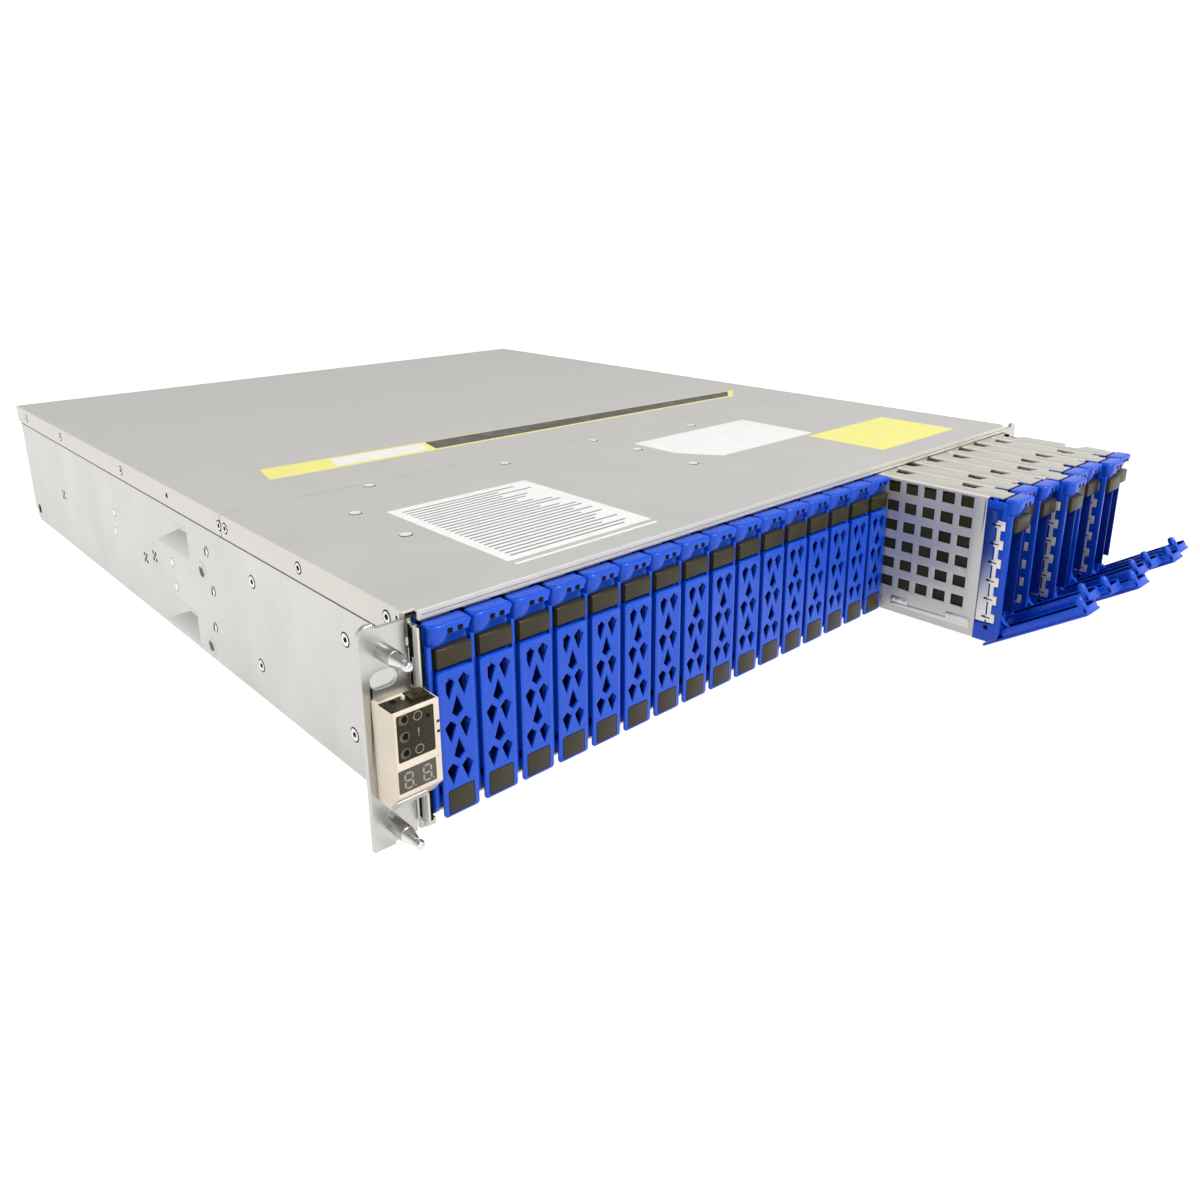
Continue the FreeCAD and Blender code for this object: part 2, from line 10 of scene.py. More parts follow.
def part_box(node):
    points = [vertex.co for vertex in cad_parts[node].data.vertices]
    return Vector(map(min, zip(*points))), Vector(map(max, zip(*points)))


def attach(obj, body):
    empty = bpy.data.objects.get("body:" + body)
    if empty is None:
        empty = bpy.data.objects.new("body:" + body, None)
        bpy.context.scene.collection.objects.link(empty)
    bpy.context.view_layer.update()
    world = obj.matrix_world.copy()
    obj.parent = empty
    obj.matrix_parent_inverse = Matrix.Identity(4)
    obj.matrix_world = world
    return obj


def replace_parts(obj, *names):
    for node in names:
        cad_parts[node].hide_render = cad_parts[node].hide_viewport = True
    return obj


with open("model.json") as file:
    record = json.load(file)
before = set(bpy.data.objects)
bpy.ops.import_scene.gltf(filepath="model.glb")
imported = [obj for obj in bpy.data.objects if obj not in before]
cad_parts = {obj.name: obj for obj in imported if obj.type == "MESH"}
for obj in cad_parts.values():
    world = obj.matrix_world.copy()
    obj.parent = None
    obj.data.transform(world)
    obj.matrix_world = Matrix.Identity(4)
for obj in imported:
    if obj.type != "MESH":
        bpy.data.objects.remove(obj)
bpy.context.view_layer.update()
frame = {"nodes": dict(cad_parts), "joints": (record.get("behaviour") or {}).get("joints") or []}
nodes = frame["nodes"]

# Shapes are written in millimetres in the frame's own axes and scaled when they become meshes.
MM = 0.001

# Chassis places read from the frame
body_low, body_high = (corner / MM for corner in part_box("chassis_base"))
cover_low, cover_high = (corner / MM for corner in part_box("front_top_cover"))
display_low, display_high = (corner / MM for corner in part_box("display_module"))
ear_low, _ = (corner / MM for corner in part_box("rack_ears"))
front_y = body_low.y
rear_y = body_high.y
wall_x = body_high.x
cover_x = cover_high.x
top_z = cover_high.z

# One drive carrier, in its own bay: x from the bay's left side, y from the chassis lip, z from the underside
bay_pitch = 18.3
pivot = Vector((bay_pitch / 2, 1.8, 12.2))
carrier_bottom, carrier_top = 4.4, 80.8
bezel_left, bezel_right = 0.35, 17.95
bezel_front, bezel_rear = -7.4, 8.3
post_front = -5.2
cap_rear = -0.2
bezel_wall = 1.7
cap_bottom = 71.8
latch_bottom, latch_top = 63.6, 71.5
latch_front = -6.8
lever_left, lever_right = 2.35, 17.9
lever_bottom, lever_top = 4.6, 62.9
lever_plate = 1.2
tray_left, tray_right = 0.75, 16.9
tray_rear = 133.6
tray_sheet = 0.6

# Matrices that stand a flat outline up: seen from the front, or seen from the side
FACING_FRONT = Matrix(((1, 0, 0, 0), (0, 0, -1, 0), (0, 1, 0, 0), (0, 0, 0, 1)))
FACING_SIDE = Matrix(((0, 0, 1, 0), (1, 0, 0, 0), (0, 1, 0, 0), (0, 0, 0, 1)))
FLAT = Matrix.Identity(4)

# Ways that a turned shape can point
TO_LEFT, TO_RIGHT = (-1, 0, 0), (1, 0, 0)
TO_FRONT, TO_REAR = (0, -1, 0), (0, 1, 0)
TO_TOP = (0, 0, 1)

# Edges that bend by more degrees than this stay sharp, and points closer than this in millimetres are welded
SHARP_ANGLE = 32
WELD_DISTANCE = 0.0005


# Mesh tools
def take(form, mesh, place=FLAT):
    """Adds a mesh to a form and throws the mesh away."""
    mesh.transform(place)
    form.from_mesh(mesh)
    bpy.data.meshes.remove(mesh)


def block(form, low, high, edge=0.0):
    """A block between two corners, with rounded edges."""
    part = bmesh.new()
    bmesh.ops.create_cube(part, size=1.0)
    low, high = Vector(low), Vector(high)
    for vert in part.verts:
        vert.co = Vector((low[i] if vert.co[i] < 0 else high[i]) for i in range(3))
    if edge:
        bmesh.ops.bevel(part, geom=part.edges[:], offset=edge, segments=2, profile=0.5, affect="EDGES")
    mesh = bpy.data.meshes.new("block")
    part.to_mesh(mesh)
    part.free()
    take(form, mesh)


def slab(form, loops, thickness, edge, place):
    """A plate in the XY plane with rounded edges: loops are its rim and then its openings."""
    curve = bpy.data.curves.new("slab", "CURVE")
    curve.dimensions = "2D"
    curve.fill_mode = "BOTH"
    curve.extrude = thickness / 2 - edge
    curve.bevel_depth = edge
    curve.bevel_resolution = 1
    curve.offset = -edge
    for loop in loops:
        spline = curve.splines.new("POLY")
        spline.points.add(len(loop) - 1)
        for point, (x, y) in zip(spline.points, loop):
            point.co = (x, y, 0, 1)
        spline.use_cyclic_u = True
    maker = bpy.data.objects.new("slab", curve)
    mesh = bpy.data.meshes.new_from_object(maker)
    bpy.data.objects.remove(maker)
    bpy.data.curves.remove(curve)
    take(form, mesh, place)


def front_slab(form, loops, y0, y1, edge=0.0):
    """A plate that faces the front: outlines in XZ, between y0 and y1."""
    slab(form, loops, y1 - y0, edge, Matrix.Translation((0, (y0 + y1) / 2, 0)) @ FACING_FRONT)


def side_slab(form, loops, x0, x1, edge=0.0):
    """A plate that faces the side: outlines in YZ, between x0 and x1."""
    slab(form, loops, x1 - x0, edge, Matrix.Translation(((x0 + x1) / 2, 0, 0)) @ FACING_SIDE)


def flat_slab(form, loops, z0, z1, edge=0.0):
    """A level plate: outlines in XY, between z0 and z1."""
    slab(form, loops, z1 - z0, edge, Matrix.Translation((0, 0, (z0 + z1) / 2)))


def loft(form, sections, closed=False):
    """A skin over rings of points: both ends are filled, or the last ring meets the first."""
    rings = [[form.verts.new(point) for point in section] for section in sections]
    following = rings[1:] + rings[:1] if closed else rings[1:]
    for lower, upper in zip(rings, following):
        for i in range(len(lower)):
            form.faces.new((lower[i - 1], lower[i], upper[i], upper[i - 1]))
    if not closed:
        form.faces.new(rings[0])
        form.faces.new(rings[-1])


def stood(points, centre, axis):
    """Points written about the upright axis, turned to another axis and moved to a centre."""
    turn = Vector(TO_TOP).rotation_difference(Vector(axis)).to_matrix()
    return [Vector(centre) + turn @ Vector(point) for point in points]


def turned(form, profile, centre, axis, sides=20, closed=False):
    """A turned shape: profile is (distance along the axis, radius) pairs, closed for a ring."""
    rings = [[(x, y, along) for x, y in circle(0, 0, radius, sides)] for along, radius in profile]
    loft(form, [stood(ring, centre, axis) for ring in rings], closed)


def rod(form, centre, axis, radius, start=-0.3, end=0.03, sides=20):
    """A round rod or disc, between two distances along its axis."""
    turned(form, [(start, radius), (end, radius)], centre, axis, sides)


def angles(count):
    return [2 * math.pi * i / count for i in range(count)]


def arc(a, b, radius, start, end, steps):
    """Points along an arc about (a, b), angles in degrees."""
    turns = [math.radians(start + (end - start) * i / steps) for i in range(steps + 1)]
    return [(a + radius * math.cos(t), b + radius * math.sin(t)) for t in turns]


def rectangle(a0, a1, b0, b1, radius=0.0, steps=3):
    """A rectangle's outline, its corners rounded if a radius is given."""
    if not radius:
        return [(a0, b0), (a1, b0), (a1, b1), (a0, b1)]
    low_a, high_a, low_b, high_b = a0 + radius, a1 - radius, b0 + radius, b1 - radius
    outline = arc(low_a, low_b, radius, 180, 270, steps) + arc(high_a, low_b, radius, 270, 360, steps)
    return outline + arc(high_a, high_b, radius, 0, 90, steps) + arc(low_a, high_b, radius, 90, 180, steps)


def about(a, b, width, height, radius=0.0):
    """A rectangle's outline about its middle."""
    return rectangle(a - width / 2, a + width / 2, b - height / 2, b + height / 2, radius)


def circle(a, b, radius, sides=20):
    return [(a + radius * math.cos(t), b + radius * math.sin(t)) for t in angles(sides)]


def mesh_of(form, name, material):
    """Ends a form: welds it, scales it to metres and gives it a material."""
    bmesh.ops.remove_doubles(form, verts=form.verts, dist=WELD_DISTANCE)
    bmesh.ops.recalc_face_normals(form, faces=form.faces)
    mesh = bpy.data.meshes.new(name)
    form.to_mesh(mesh)
    form.free()
    mesh.transform(Matrix.Scale(MM, 4))
    mesh.polygons.foreach_set("use_smooth", [True] * len(mesh.polygons))
    mesh.set_sharp_from_angle(angle=math.radians(SHARP_ANGLE))
    mesh.materials.append(material)
    return mesh


def in_scene(name, data):
    """A new object in the scene."""
    obj = bpy.data.objects.new(name, data)
    bpy.context.scene.collection.objects.link(obj)
    return obj


def piece(name, mesh, body, matrix=FLAT):
    """Puts a mesh into the scene as a piece that moves with a body."""
    obj = in_scene(name, mesh)
    obj.matrix_world = matrix
    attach(obj, body)
    return obj


def fixed_piece(name, form, material, body="chassis"):
    """A piece written in the frame's own axes."""
    return piece(name, mesh_of(form, name, material), body)


# Materials
def wire(tree, node, sockets):
    """Fills a node's sockets: what comes out of another node is linked, a value is set."""
    for socket, value in sockets.items():
        if isinstance(value, bpy.types.NodeSocket):
            tree.links.new(value, node.inputs[socket])
        else:
            node.inputs[socket].default_value = value
    return node


def added(tree, kind, sockets):
    """A new node with its sockets filled."""
    return wire(tree, tree.nodes.new(kind), sockets)


def new_material(name, colour, metallic, roughness, specular=0.5):
    material = bpy.data.materials.new(name)
    material.use_nodes = True
    tree = material.node_tree
    sockets = {"Base Color": (*colour, 1), "Metallic": metallic, "Roughness": roughness}
    sockets["Specular IOR Level"] = specular
    return material, tree, wire(tree, tree.nodes["Principled BSDF"], sockets)


def own_place(tree):
    """A point's place in the piece's own coordinates."""
    return tree.nodes.new("ShaderNodeTexCoord").outputs["Object"]


def facing(tree):
    """X, Y and Z of the way that a face looks."""
    return parts_of(tree, tree.nodes.new("ShaderNodeNewGeometry").outputs["True Normal"])


def noise(tree, scale, stretch=(1, 1, 1), detail=3.0):
    """A noise pattern in the piece's own coordinates; scale counts waves per metre."""
    mapping = added(tree, "ShaderNodeMapping", {"Vector": own_place(tree), "Scale": stretch})
    sockets = {"Vector": mapping.outputs["Vector"], "Scale": scale, "Detail": detail}
    return added(tree, "ShaderNodeTexNoise", sockets).outputs["Fac"]


def ramp(tree, factor, low, high, start=0.3, end=0.7):
    """Colours between low and high along a factor."""
    node = added(tree, "ShaderNodeValToRGB", {"Fac": factor})
    first, last = node.color_ramp.elements
    first.position, last.position = start, end
    first.color, last.color = (*low, 1), (*high, 1)
    return node.outputs["Color"]


def spread(tree, factor, low, high, start=0.3, end=0.7):
    """A number between low and high along a factor."""
    sockets = {"Value": factor, "From Min": start, "From Max": end, "To Min": low, "To Max": high}
    return added(tree, "ShaderNodeMapRange", sockets).outputs["Result"]


def bump(tree, shader, height, strength, distance):
    sockets = {"Height": height, "Strength": strength, "Distance": distance}
    wire(tree, shader, {"Normal": added(tree, "ShaderNodeBump", sockets).outputs["Normal"]})


def shade(colour, factor):
    return tuple(min(1.0, c * factor) for c in colour)


def worked(tree, operation, *numbers):
    """A number worked out from others."""
    node = added(tree, "ShaderNodeMath", dict(enumerate(numbers)))
    node.operation = operation
    return node.outputs["Value"]


def blend(tree, factor, first, second):
    """A colour between two colours along a factor."""
    node = tree.nodes.new("ShaderNodeMix")
    node.data_type = "RGBA"
    return wire(tree, node, {0: factor, 6: first, 7: second}).outputs[2]


def parts_of(tree, vector):
    """The X, Y and Z of a vector."""
    return added(tree, "ShaderNodeSeparateXYZ", {"Vector": vector}).outputs


def painted_dent_shade(tree, tone, colour, grey):
    """Painted shade: greys faces that lean up or to the rear inside a dent, most where it is deepest."""
    deepest, rim = (wall_x - 3.0) * MM, (wall_x - 0.1) * MM
    across = worked(tree, "ABSOLUTE", parts_of(tree, own_place(tree))[0])
    depth = ramp(tree, across, shade(colour, grey), colour, deepest, rim)
    _, rearward, upward = facing(tree)
    leaning = worked(tree, "MAXIMUM", rearward, upward)
    return blend(tree, spread(tree, leaning, 0, 1, 0.04, 0.22), tone, depth)


def painted_side_light(tree, tone, sides, ends):
    """Painted light: other tones on faces that look sideways and on those that look to the front or rear,
    lighter than the level faces.
    """
    across, along, _ = facing(tree)
    clouds = noise(tree, 22, detail=5)
    for part, colour in ((across, sides), (along, ends)):
        share = spread(tree, worked(tree, "ABSOLUTE", part), 0, 1, 0.4, 0.8)
        tone = blend(tree, share, tone, ramp(tree, clouds, shade(colour, 0.94), colour))
    return tone


def tint(tree, shader, tone, pattern, low, high):
    """Gives a shader its tone, and a roughness between low and high that follows a pattern."""
    wire(tree, shader, {"Base Color": tone, "Roughness": spread(tree, pattern, low, high)})


def steel(name, colour, roughness, grain=(1, 1, 1), metallic=0.9, contrast=0.06, dent_shade=None, side_light_tones=None):
    """Plated sheet: cloudy tone, fine rolling grain and a roughness that wanders, with painted shade in dents
    and painted light on side faces where asked.
    """
    material, tree, shader = new_material(name, colour, metallic, roughness)
    clouds = noise(tree, 22, detail=5)
    fine = noise(tree, 900, grain, detail=2)
    tone = ramp(tree, clouds, shade(colour, 1 - contrast), shade(colour, 1 + contrast))
    if dent_shade:
        tone = painted_dent_shade(tree, tone, colour, dent_shade)
    if side_light_tones:
        tone = painted_side_light(tree, tone, *side_light_tones)
    tint(tree, shader, tone, clouds, roughness - 0.05, roughness + 0.07)
    bump(tree, shader, fine, 0.12, 0.00004)
    return material


def plastic(name, colour, roughness, grain=1600, stretch=(1, 1, 1), contrast=0.05, depth=0.00004,
            specular=0.4):
    """Moulded plastic: faint tone changes and a fine pebbled or ribbed surface."""
    material, tree, shader = new_material(name, colour, 0.0, roughness, specular)
    fine = noise(tree, grain, stretch, detail=1)
    tone = ramp(tree, noise(tree, 70), shade(colour, 1 - contrast), shade(colour, 1 + contrast))
    tint(tree, shader, tone, fine, roughness - 0.04, roughness + 0.06)
    bump(tree, shader, fine, 0.15, depth)
    return material


def paper(name, colour, roughness=0.45):
    """Printed film: slight mottling and a few dull rubbed places."""
    material, tree, shader = new_material(name, colour, 0.0, roughness)
    mottle = noise(tree, 120, detail=6)
    tone = ramp(tree, mottle, shade(colour, 0.95), shade(colour, 1.03))
    tint(tree, shader, tone, mottle, roughness - 0.08, roughness + 0.1)
    return material


def shade_graded_plate(name, bare, shade_blue, roughness, low, high):
    """Plated strip whose bare metal turns to a painted blue shade and reflection higher up; low and high are
    in millimetres.
    """
    material, tree, shader = new_material(name, bare, 0.6, roughness)
    height = parts_of(tree, own_place(tree))[2]
    tone = ramp(tree, height, bare, shade_blue, low * MM, high * MM)
    tint(tree, shader, tone, noise(tree, 60, detail=4), roughness - 0.06, roughness + 0.08)
    return material


# The sheets' base is darker for the shade on level faces; painted light gives their side and end faces
# lighter tones.
SHEET = steel("zinc_sheet", (0.56, 0.55, 0.525), 0.42, (1, 12, 1), 0.3,
              side_light_tones=((0.74, 0.72, 0.66), (0.74, 0.71, 0.62)))
# Painted shade greys the wall's dents.
WALL = steel("zinc_wall", (0.72, 0.705, 0.675), 0.44, (1, 12, 1), 0.25, 0.09, dent_shade=0.42)
EAR = steel("zinc_ear", (0.54, 0.535, 0.51), 0.30)
SATIN = steel("satin_steel", (0.38, 0.38, 0.375), 0.42, metallic=1.0)
BRIGHT = steel("turned_steel", (0.66, 0.66, 0.65), 0.16, metallic=1.0)
SCREW = steel("screw_steel", (0.78, 0.78, 0.76), 0.24, metallic=1.0)
TRAY = steel("tray_sheet", (0.60, 0.58, 0.53), 0.38, (12, 1, 1), 0.4)
MODULE = steel("module_sheet", (0.56, 0.555, 0.535), 0.38, (1, 12, 1))
BLUE = plastic("blue_plastic", (0.004, 0.075, 0.60), 0.30)
# Near-black blue: painted shade inside the open levers' channels.
SHADE_NAVY = plastic("shaded_blue_plastic", (0.0008, 0.008, 0.09), 0.55, specular=0.05)
# Darker blue: painted shade inside the bezel's well.
SHADE_WELL_BLUE = plastic("well_shade_blue_plastic", (0.002, 0.030, 0.30), 0.40, specular=0.2)
LATCH = plastic("latch_plastic", (0.036, 0.030, 0.014), 0.34, 700, (1, 1, 40), 0.2, 0.00015, 0.22)
FIELD = plastic("field_plastic", (0.042, 0.036, 0.022), 0.40, 900, (30, 1, 1), 0.10, specular=0.2)
BEIGE = plastic("display_beige", (0.81, 0.71, 0.575), 0.34)
PANEL = plastic("dark_panel", (0.030, 0.025, 0.012), 0.26, specular=0.15)
WINDOW = plastic("display_window", (0.10, 0.09, 0.065), 0.22, specular=0.2)
# Flat dark: the cap's own windows, and painted shade in holes, slits, wells, gaps and recesses.
DARK = plastic("dark_hollow", (0.008, 0.007, 0.006), 0.7, specular=0.05)
DIGIT = plastic("digit_grey", (0.34, 0.33, 0.30), 0.4)
LAMP = plastic("brass_lamp", (0.14, 0.10, 0.04), 0.35)
LAMP_RING = plastic("olive_ring", (0.13, 0.115, 0.075), 0.4)
GUIDE = plastic("guide_black", (0.018, 0.018, 0.019), 0.5, specular=0.2)
BOARD = plastic("board_green", (0.02, 0.12, 0.06), 0.4)
DRIVE = plastic("drive_case", (0.024, 0.020, 0.010), 0.5, specular=0.15)
# Light plated metal of the gaskets, also a painted highlight on the tray hems and the top rivets' heads.
GASKET = steel("gasket_plate", (0.86, 0.82, 0.72), 0.34, metallic=0.3)
# Liner tone: bare metal low, painted blue shade and reflection high in the recess.
LINER = shade_graded_plate("plated_liner", (0.72, 0.69, 0.63), (0.012, 0.055, 0.26), 0.34, 17, 52)
PORT = steel("port_cage", (0.55, 0.54, 0.50), 0.3)
# Grey for the painted shadow under the cover flanges, the lip's fold line and the dimples' eyes.
SEAM = plastic("seam_shadow", (0.16, 0.155, 0.15), 0.6, specular=0.1)
WHITE_FILM = paper("white_film", (0.88, 0.88, 0.86))
GREY_INK = paper("grey_ink", (0.22, 0.22, 0.22))
YELLOW_FILM = paper("yellow_film", (0.90, 0.84, 0.22))
BLACK_FILM = paper("black_film", (0.045, 0.043, 0.038))


# CAD nodes that stay: softened edges and their own finishes
def dress(name, material, edge):
    """Welds the node's seams and rounds its edges, then gives it a finish."""
    seam_width, sharpest_flat = 1e-6, 30
    obj = nodes[name]
    weld = obj.modifiers.new("weld", "WELD")
    weld.merge_threshold = seam_width
    bevel = obj.modifiers.new("round", "BEVEL")
    bevel.width = edge * MM
    bevel.segments = 2
    bevel.limit_method = "ANGLE"
    bevel.angle_limit = math.radians(sharpest_flat)
    obj.data.materials.clear()
    obj.data.materials.append(material)


dress("chassis_base", WALL, 0.35)
dress("front_top_cover", SHEET, 0.45)
dress("rear_top_cover", SHEET, 0.45)
dress("rack_ears", EAR, 0.35)
dress("display_module", BEIGE, 0.45)
dress("drive_guides", GUIDE, 0.2)
dress("midplane_board", BOARD, 0.2)
for module in ("controller_lower", "controller_upper", "power_supply_left", "power_supply_right"):
    dress(module, MODULE, 0.35)


# Carrier bezel
scoop_height, scoop_depth = 5.0, 3.4


def cap_section(z, inset):
    """A level outline of the cap: round left front corner, waisted right side, front scooped back below."""
    waist_middle, waist_half, waist_depth = cap_bottom + 4.2, 3.4, 1.2
    down = min(1.0, max(0.0, cap_bottom + scoop_height - z) / scoop_height)
    scooped = scoop_depth * (0.25 * down + 0.75 * math.sqrt(1 - (1 - down) ** 2))
    beside = (post_front - bezel_front) * down ** 2
    pinch = max(0.0, 1 - ((z - waist_middle) / waist_half) ** 2)
    left, right = bezel_left + 0.7 + inset, bezel_right - inset - waist_depth * pinch
    front, rear = bezel_front + inset, cap_rear - 0.2 * inset
    corner, small, steps = 3.3, 0.4, 10
    outline = arc(left + corner, front + beside + corner, corner, 180, 270, 6)
    for i in range(1, steps + 1):
        share = i / steps
        ease = share * share * (3 - 2 * share) if share < 1 else 1.0
        ease = min(1.0, 2.2 * ease)
        x = left + corner + share * (right - left - corner - small)
        outline.append((x, front + beside + (scooped - beside) * ease))
    outline.append((right, front + scooped + small))
    outline += arc(right - small, rear - small, small, 0, 90, 2)
    outline += arc(left + small, rear - small, small, 90, 180, 2)
    return [(x, y, z) for x, y in outline]


def bezel_cap(form):
    rounding, rounding_steps, level_step, level_count = 1.2, 4, 0.25, 32
    levels = [(cap_bottom + level_step * i, 0.0) for i in range(level_count)]
    for i in range(1, rounding_steps + 1):
        angle = math.radians(90 * i / rounding_steps)
        levels.append((carrier_top - rounding + rounding * math.sin(angle), rounding * (1 - math.cos(angle))))
    loft(form, [cap_section(z, inset) for z, inset in levels])


finger_count = 6
finger_pitch = 9.9
finger_height = 5.2
finger_bottom = 15.0
recess_top = 75.3
recess_floor = bezel_left + 0.75
ledge_top = 79.0


def finger_levels():
    return [finger_bottom + i * finger_pitch for i in range(finger_count)]


def tooth(root, reach, start, end):
    """Four corners of a square tooth or notch, from its root out to its reach and back."""
    return [(root, start), (reach, start), (reach, end), (root, end)]


def bezel_side(form):
    """Left side: a front post notched for the gasket's teeth, a foot, and a ledge under the tray."""
    land, notch, neck, corner = 0.1, 2.4, -1.9, 6.0
    outline = arc(post_front + corner, carrier_bottom + corner, corner, 180, 270, 6)
    outline += [(bezel_rear, carrier_bottom), (bezel_rear, finger_bottom - 1.0), (land, finger_bottom - 1.0)]
    for z in finger_levels():
        outline += tooth(land, land - notch, z, z + finger_height)
    outline += [(land, recess_top), (bezel_rear, recess_top), (bezel_rear, ledge_top)]
    outline += [(neck, ledge_top), (neck, cap_bottom + 1.0), (post_front, cap_bottom + 1.0)]
    side_slab(form, [outline], bezel_left, bezel_left + bezel_wall, 0.3)
    block(form, (bezel_left + 0.2, 3.2, ledge_top - 0.5), (bezel_left + 1.6, 5.6, carrier_top), 0.2)


def bezel_back(form):
    """Recessed left wall, rear wall behind a grid of ribs, and the right wall beside the lever, all in a
    darker blue as painted shade.
    """
    recess = rectangle(post_front + 1.0, bezel_rear - 0.1, finger_bottom - 2.0, recess_top + 1.0)
    side_slab(form, [recess], recess_floor, bezel_left + bezel_wall - 0.05, 0.1)
    left, right = bezel_left + bezel_wall - 0.2, bezel_right
    bottom, top = 15.0, carrier_top - tray_sheet - 0.1
    inner, rib_back = bezel_rear - 1.8, bezel_rear - 0.3
    middle = (left + right) / 2
    block(form, (left, bezel_rear - 0.7, bottom), (right, bezel_rear, top), 0.1)
    block(form, (middle - 0.55, inner - 3.4, bottom), (middle + 0.55, rib_back, latch_bottom), 0.25)
    for x in (left + 0.4, right - 2.2):
        block(form, (x, inner - 0.8, bottom), (x + 0.9, rib_back, latch_bottom), 0.2)
    rows, rib = 5, 0.8
    for row in range(rows + 1):
        z = bottom + row * (latch_bottom - bottom - 1.0) / rows
        block(form, (left, inner, z), (right - 0.5, rib_back, z + rib), 0.2)
    wall_left, wall_front, wall_bottom, wall_top = right - 1.2, -4.0, 16.8, 62.9
    block(form, (wall_left, 0.6, 9.7), (right, bezel_rear - 0.1, top), 0.2)
    block(form, (wall_left, wall_front, wall_bottom), (right, 0.9, wall_top), 0.2)


def bezel_pivot(form):
    """Rounded arm that carries the pin, the pin itself and a rim round its end."""
    arm, pin = 2.5, 1.0
    outline = arc(pivot.y, pivot.z, arm, 90, 270, 8)
    outline += [(bezel_rear - 0.1, pivot.z - arm), (bezel_rear - 0.1, pivot.z + arm)]
    side_slab(form, [outline], bezel_right - 1.5, bezel_right, 0.2)
    pin_length = bezel_right - bezel_left - 0.3
    rod(form, (bezel_left + 0.15, pivot.y, pivot.z), TO_RIGHT, pin, 0, pin_length, 16)
    rim = [(-0.05, 1.3), (-0.05, 2.1), (-0.22, 2.0), (-0.22, 1.4)]
    turned(form, rim, (bezel_left, pivot.y, pivot.z), TO_RIGHT, closed=True)


def inlay(form):
    """Plated liner in the recess behind the gasket, bare below, with painted dark blue shade and reflection
    above.
    """
    outline = rectangle(2.9, bezel_rear - 0.4, finger_bottom - 0.4, recess_top - 1.2, 0.6)
    side_slab(form, [outline], recess_floor - 0.12, recess_floor + 0.3, 0.05)


def cap_windows(form):
    """Two small dark windows in the cap's face, the pin's dark end and slits across the gasket."""
    for x in (8.7, 13.0):
        front_slab(form, [about(x, 77.9, 2.3, 2.0, 0.4)], bezel_front - 0.03, bezel_front + 0.6, 0.03)
    rod(form, (bezel_left - 0.04, pivot.y, pivot.z), TO_RIGHT, 1.25, 0, 0.3)
    for z in finger_levels():
        middle = z + finger_height / 2
        block(form, (bezel_left - 0.02, 0.1, middle - 0.3), (recess_floor, 4.6, middle + 0.3))


def latch(form):
    """Release button with a rolled lower lip."""
    width, rear, lip, crown = 14.8, 0.6, 1.3, 0.8
    outline = arc(latch_front + lip, latch_bottom + lip, lip, 180, 270, 4)
    outline += [(rear, latch_bottom), (rear, latch_top)]
    outline += arc(latch_front + crown, latch_top - crown, crown, 90, 180, 3)
    side_slab(form, [outline], lever_right - width, lever_right, 0.4)


def gasket(form):
    """Plated strip: a spine, square teeth that reach into the post and short stubs behind."""
    spine0, spine1, tip, stub, stub_half, ease = -0.1, 1.9, -2.1, 2.7, 1.4, 0.2
    top = finger_levels()[-1] + finger_height
    outline = [(spine1, finger_bottom)]
    for z in finger_levels():
        middle = z + finger_height / 2
        outline += tooth(spine1, stub, middle - stub_half, middle + stub_half)
    outline.append((spine1, top))
    for z in reversed(finger_levels()):
        outline += tooth(spine0, tip, z + finger_height - ease, z + ease)
    side_slab(form, [outline], bezel_left + 0.02, bezel_left + 0.42, 0.08)
    right, front, rear = recess_floor + 0.1, spine0 + 0.2, spine1 - 0.2
    block(form, (bezel_left + 0.3, front, finger_bottom), (right, rear, top - 0.5), 0.1)


# Carrier tray and drive
tray_bend = 0.9
tray_bottom = carrier_bottom + 0.2


def tray_side(form):
    """Side plate with rows of square openings."""
    rows, columns = 6, 11
    length, height, pitch_y, pitch_z = 6.9, 6.0, 10.3, 10.76
    margin_top, margin_front = 2.1, 7.0
    loops = [rectangle(bezel_rear, tray_rear, tray_bottom, carrier_top - tray_bend + 0.05)]
    for row in range(rows):
        z = carrier_top - margin_top - height - row * pitch_z
        for column in range(columns):
            y = bezel_rear + margin_front + column * pitch_y
            loops.append(rectangle(y, y + length, z, z + height))
    side_slab(form, loops, tray_left, tray_left + tray_sheet, 0.1)


def tray_hem(form):
    """Bend along the tray's upper left edge, in the lighter gasket_plate metal as a painted highlight."""
    outer = arc(tray_left + tray_bend, carrier_top - tray_bend, tray_bend, 180, 90, 5)
    inner = arc(tray_left + tray_bend, carrier_top - tray_bend, tray_bend - tray_sheet, 90, 180, 5)
    loft(form, [[(x, y, z) for x, z in outer + inner] for y in (bezel_rear - 0.6, tray_rear)])


def tray_flanges(form):
    """Top flange, which ends just behind the cap and has slots on its right, and bottom flange."""
    slots, slot_length, slot_depth, slot_pitch, first_slot, taper = 3, 12.0, 7.4, 38.0, 9.4, 2.6
    tongue_left, tongue_right, tongue_front = bezel_left + 1.9, tray_right - 2.4, cap_rear + 1.5
    fold, slot_root = tray_left + tray_bend - 0.05, tray_right - slot_depth
    loop = [(fold, bezel_rear - 0.6), (tongue_left, bezel_rear - 1.2), (tongue_left, tongue_front)]
    loop += [(tongue_right, tongue_front), (tongue_right, 5.4), (tray_right, 6.1)]
    for i in range(slots):
        start = bezel_rear + first_slot + i * slot_pitch
        end = start + slot_length
        loop += [(tray_right, start), (slot_root, start + taper), (slot_root, end - taper), (tray_right, end)]
    loop += [(tray_right, tray_rear), (fold, tray_rear)]
    flat_slab(form, [loop], carrier_top - tray_sheet, carrier_top, 0.1)
    bottom = rectangle(tray_left, tray_right, bezel_rear, tray_rear)
    flat_slab(form, [bottom], tray_bottom, tray_bottom + tray_sheet, 0.1)


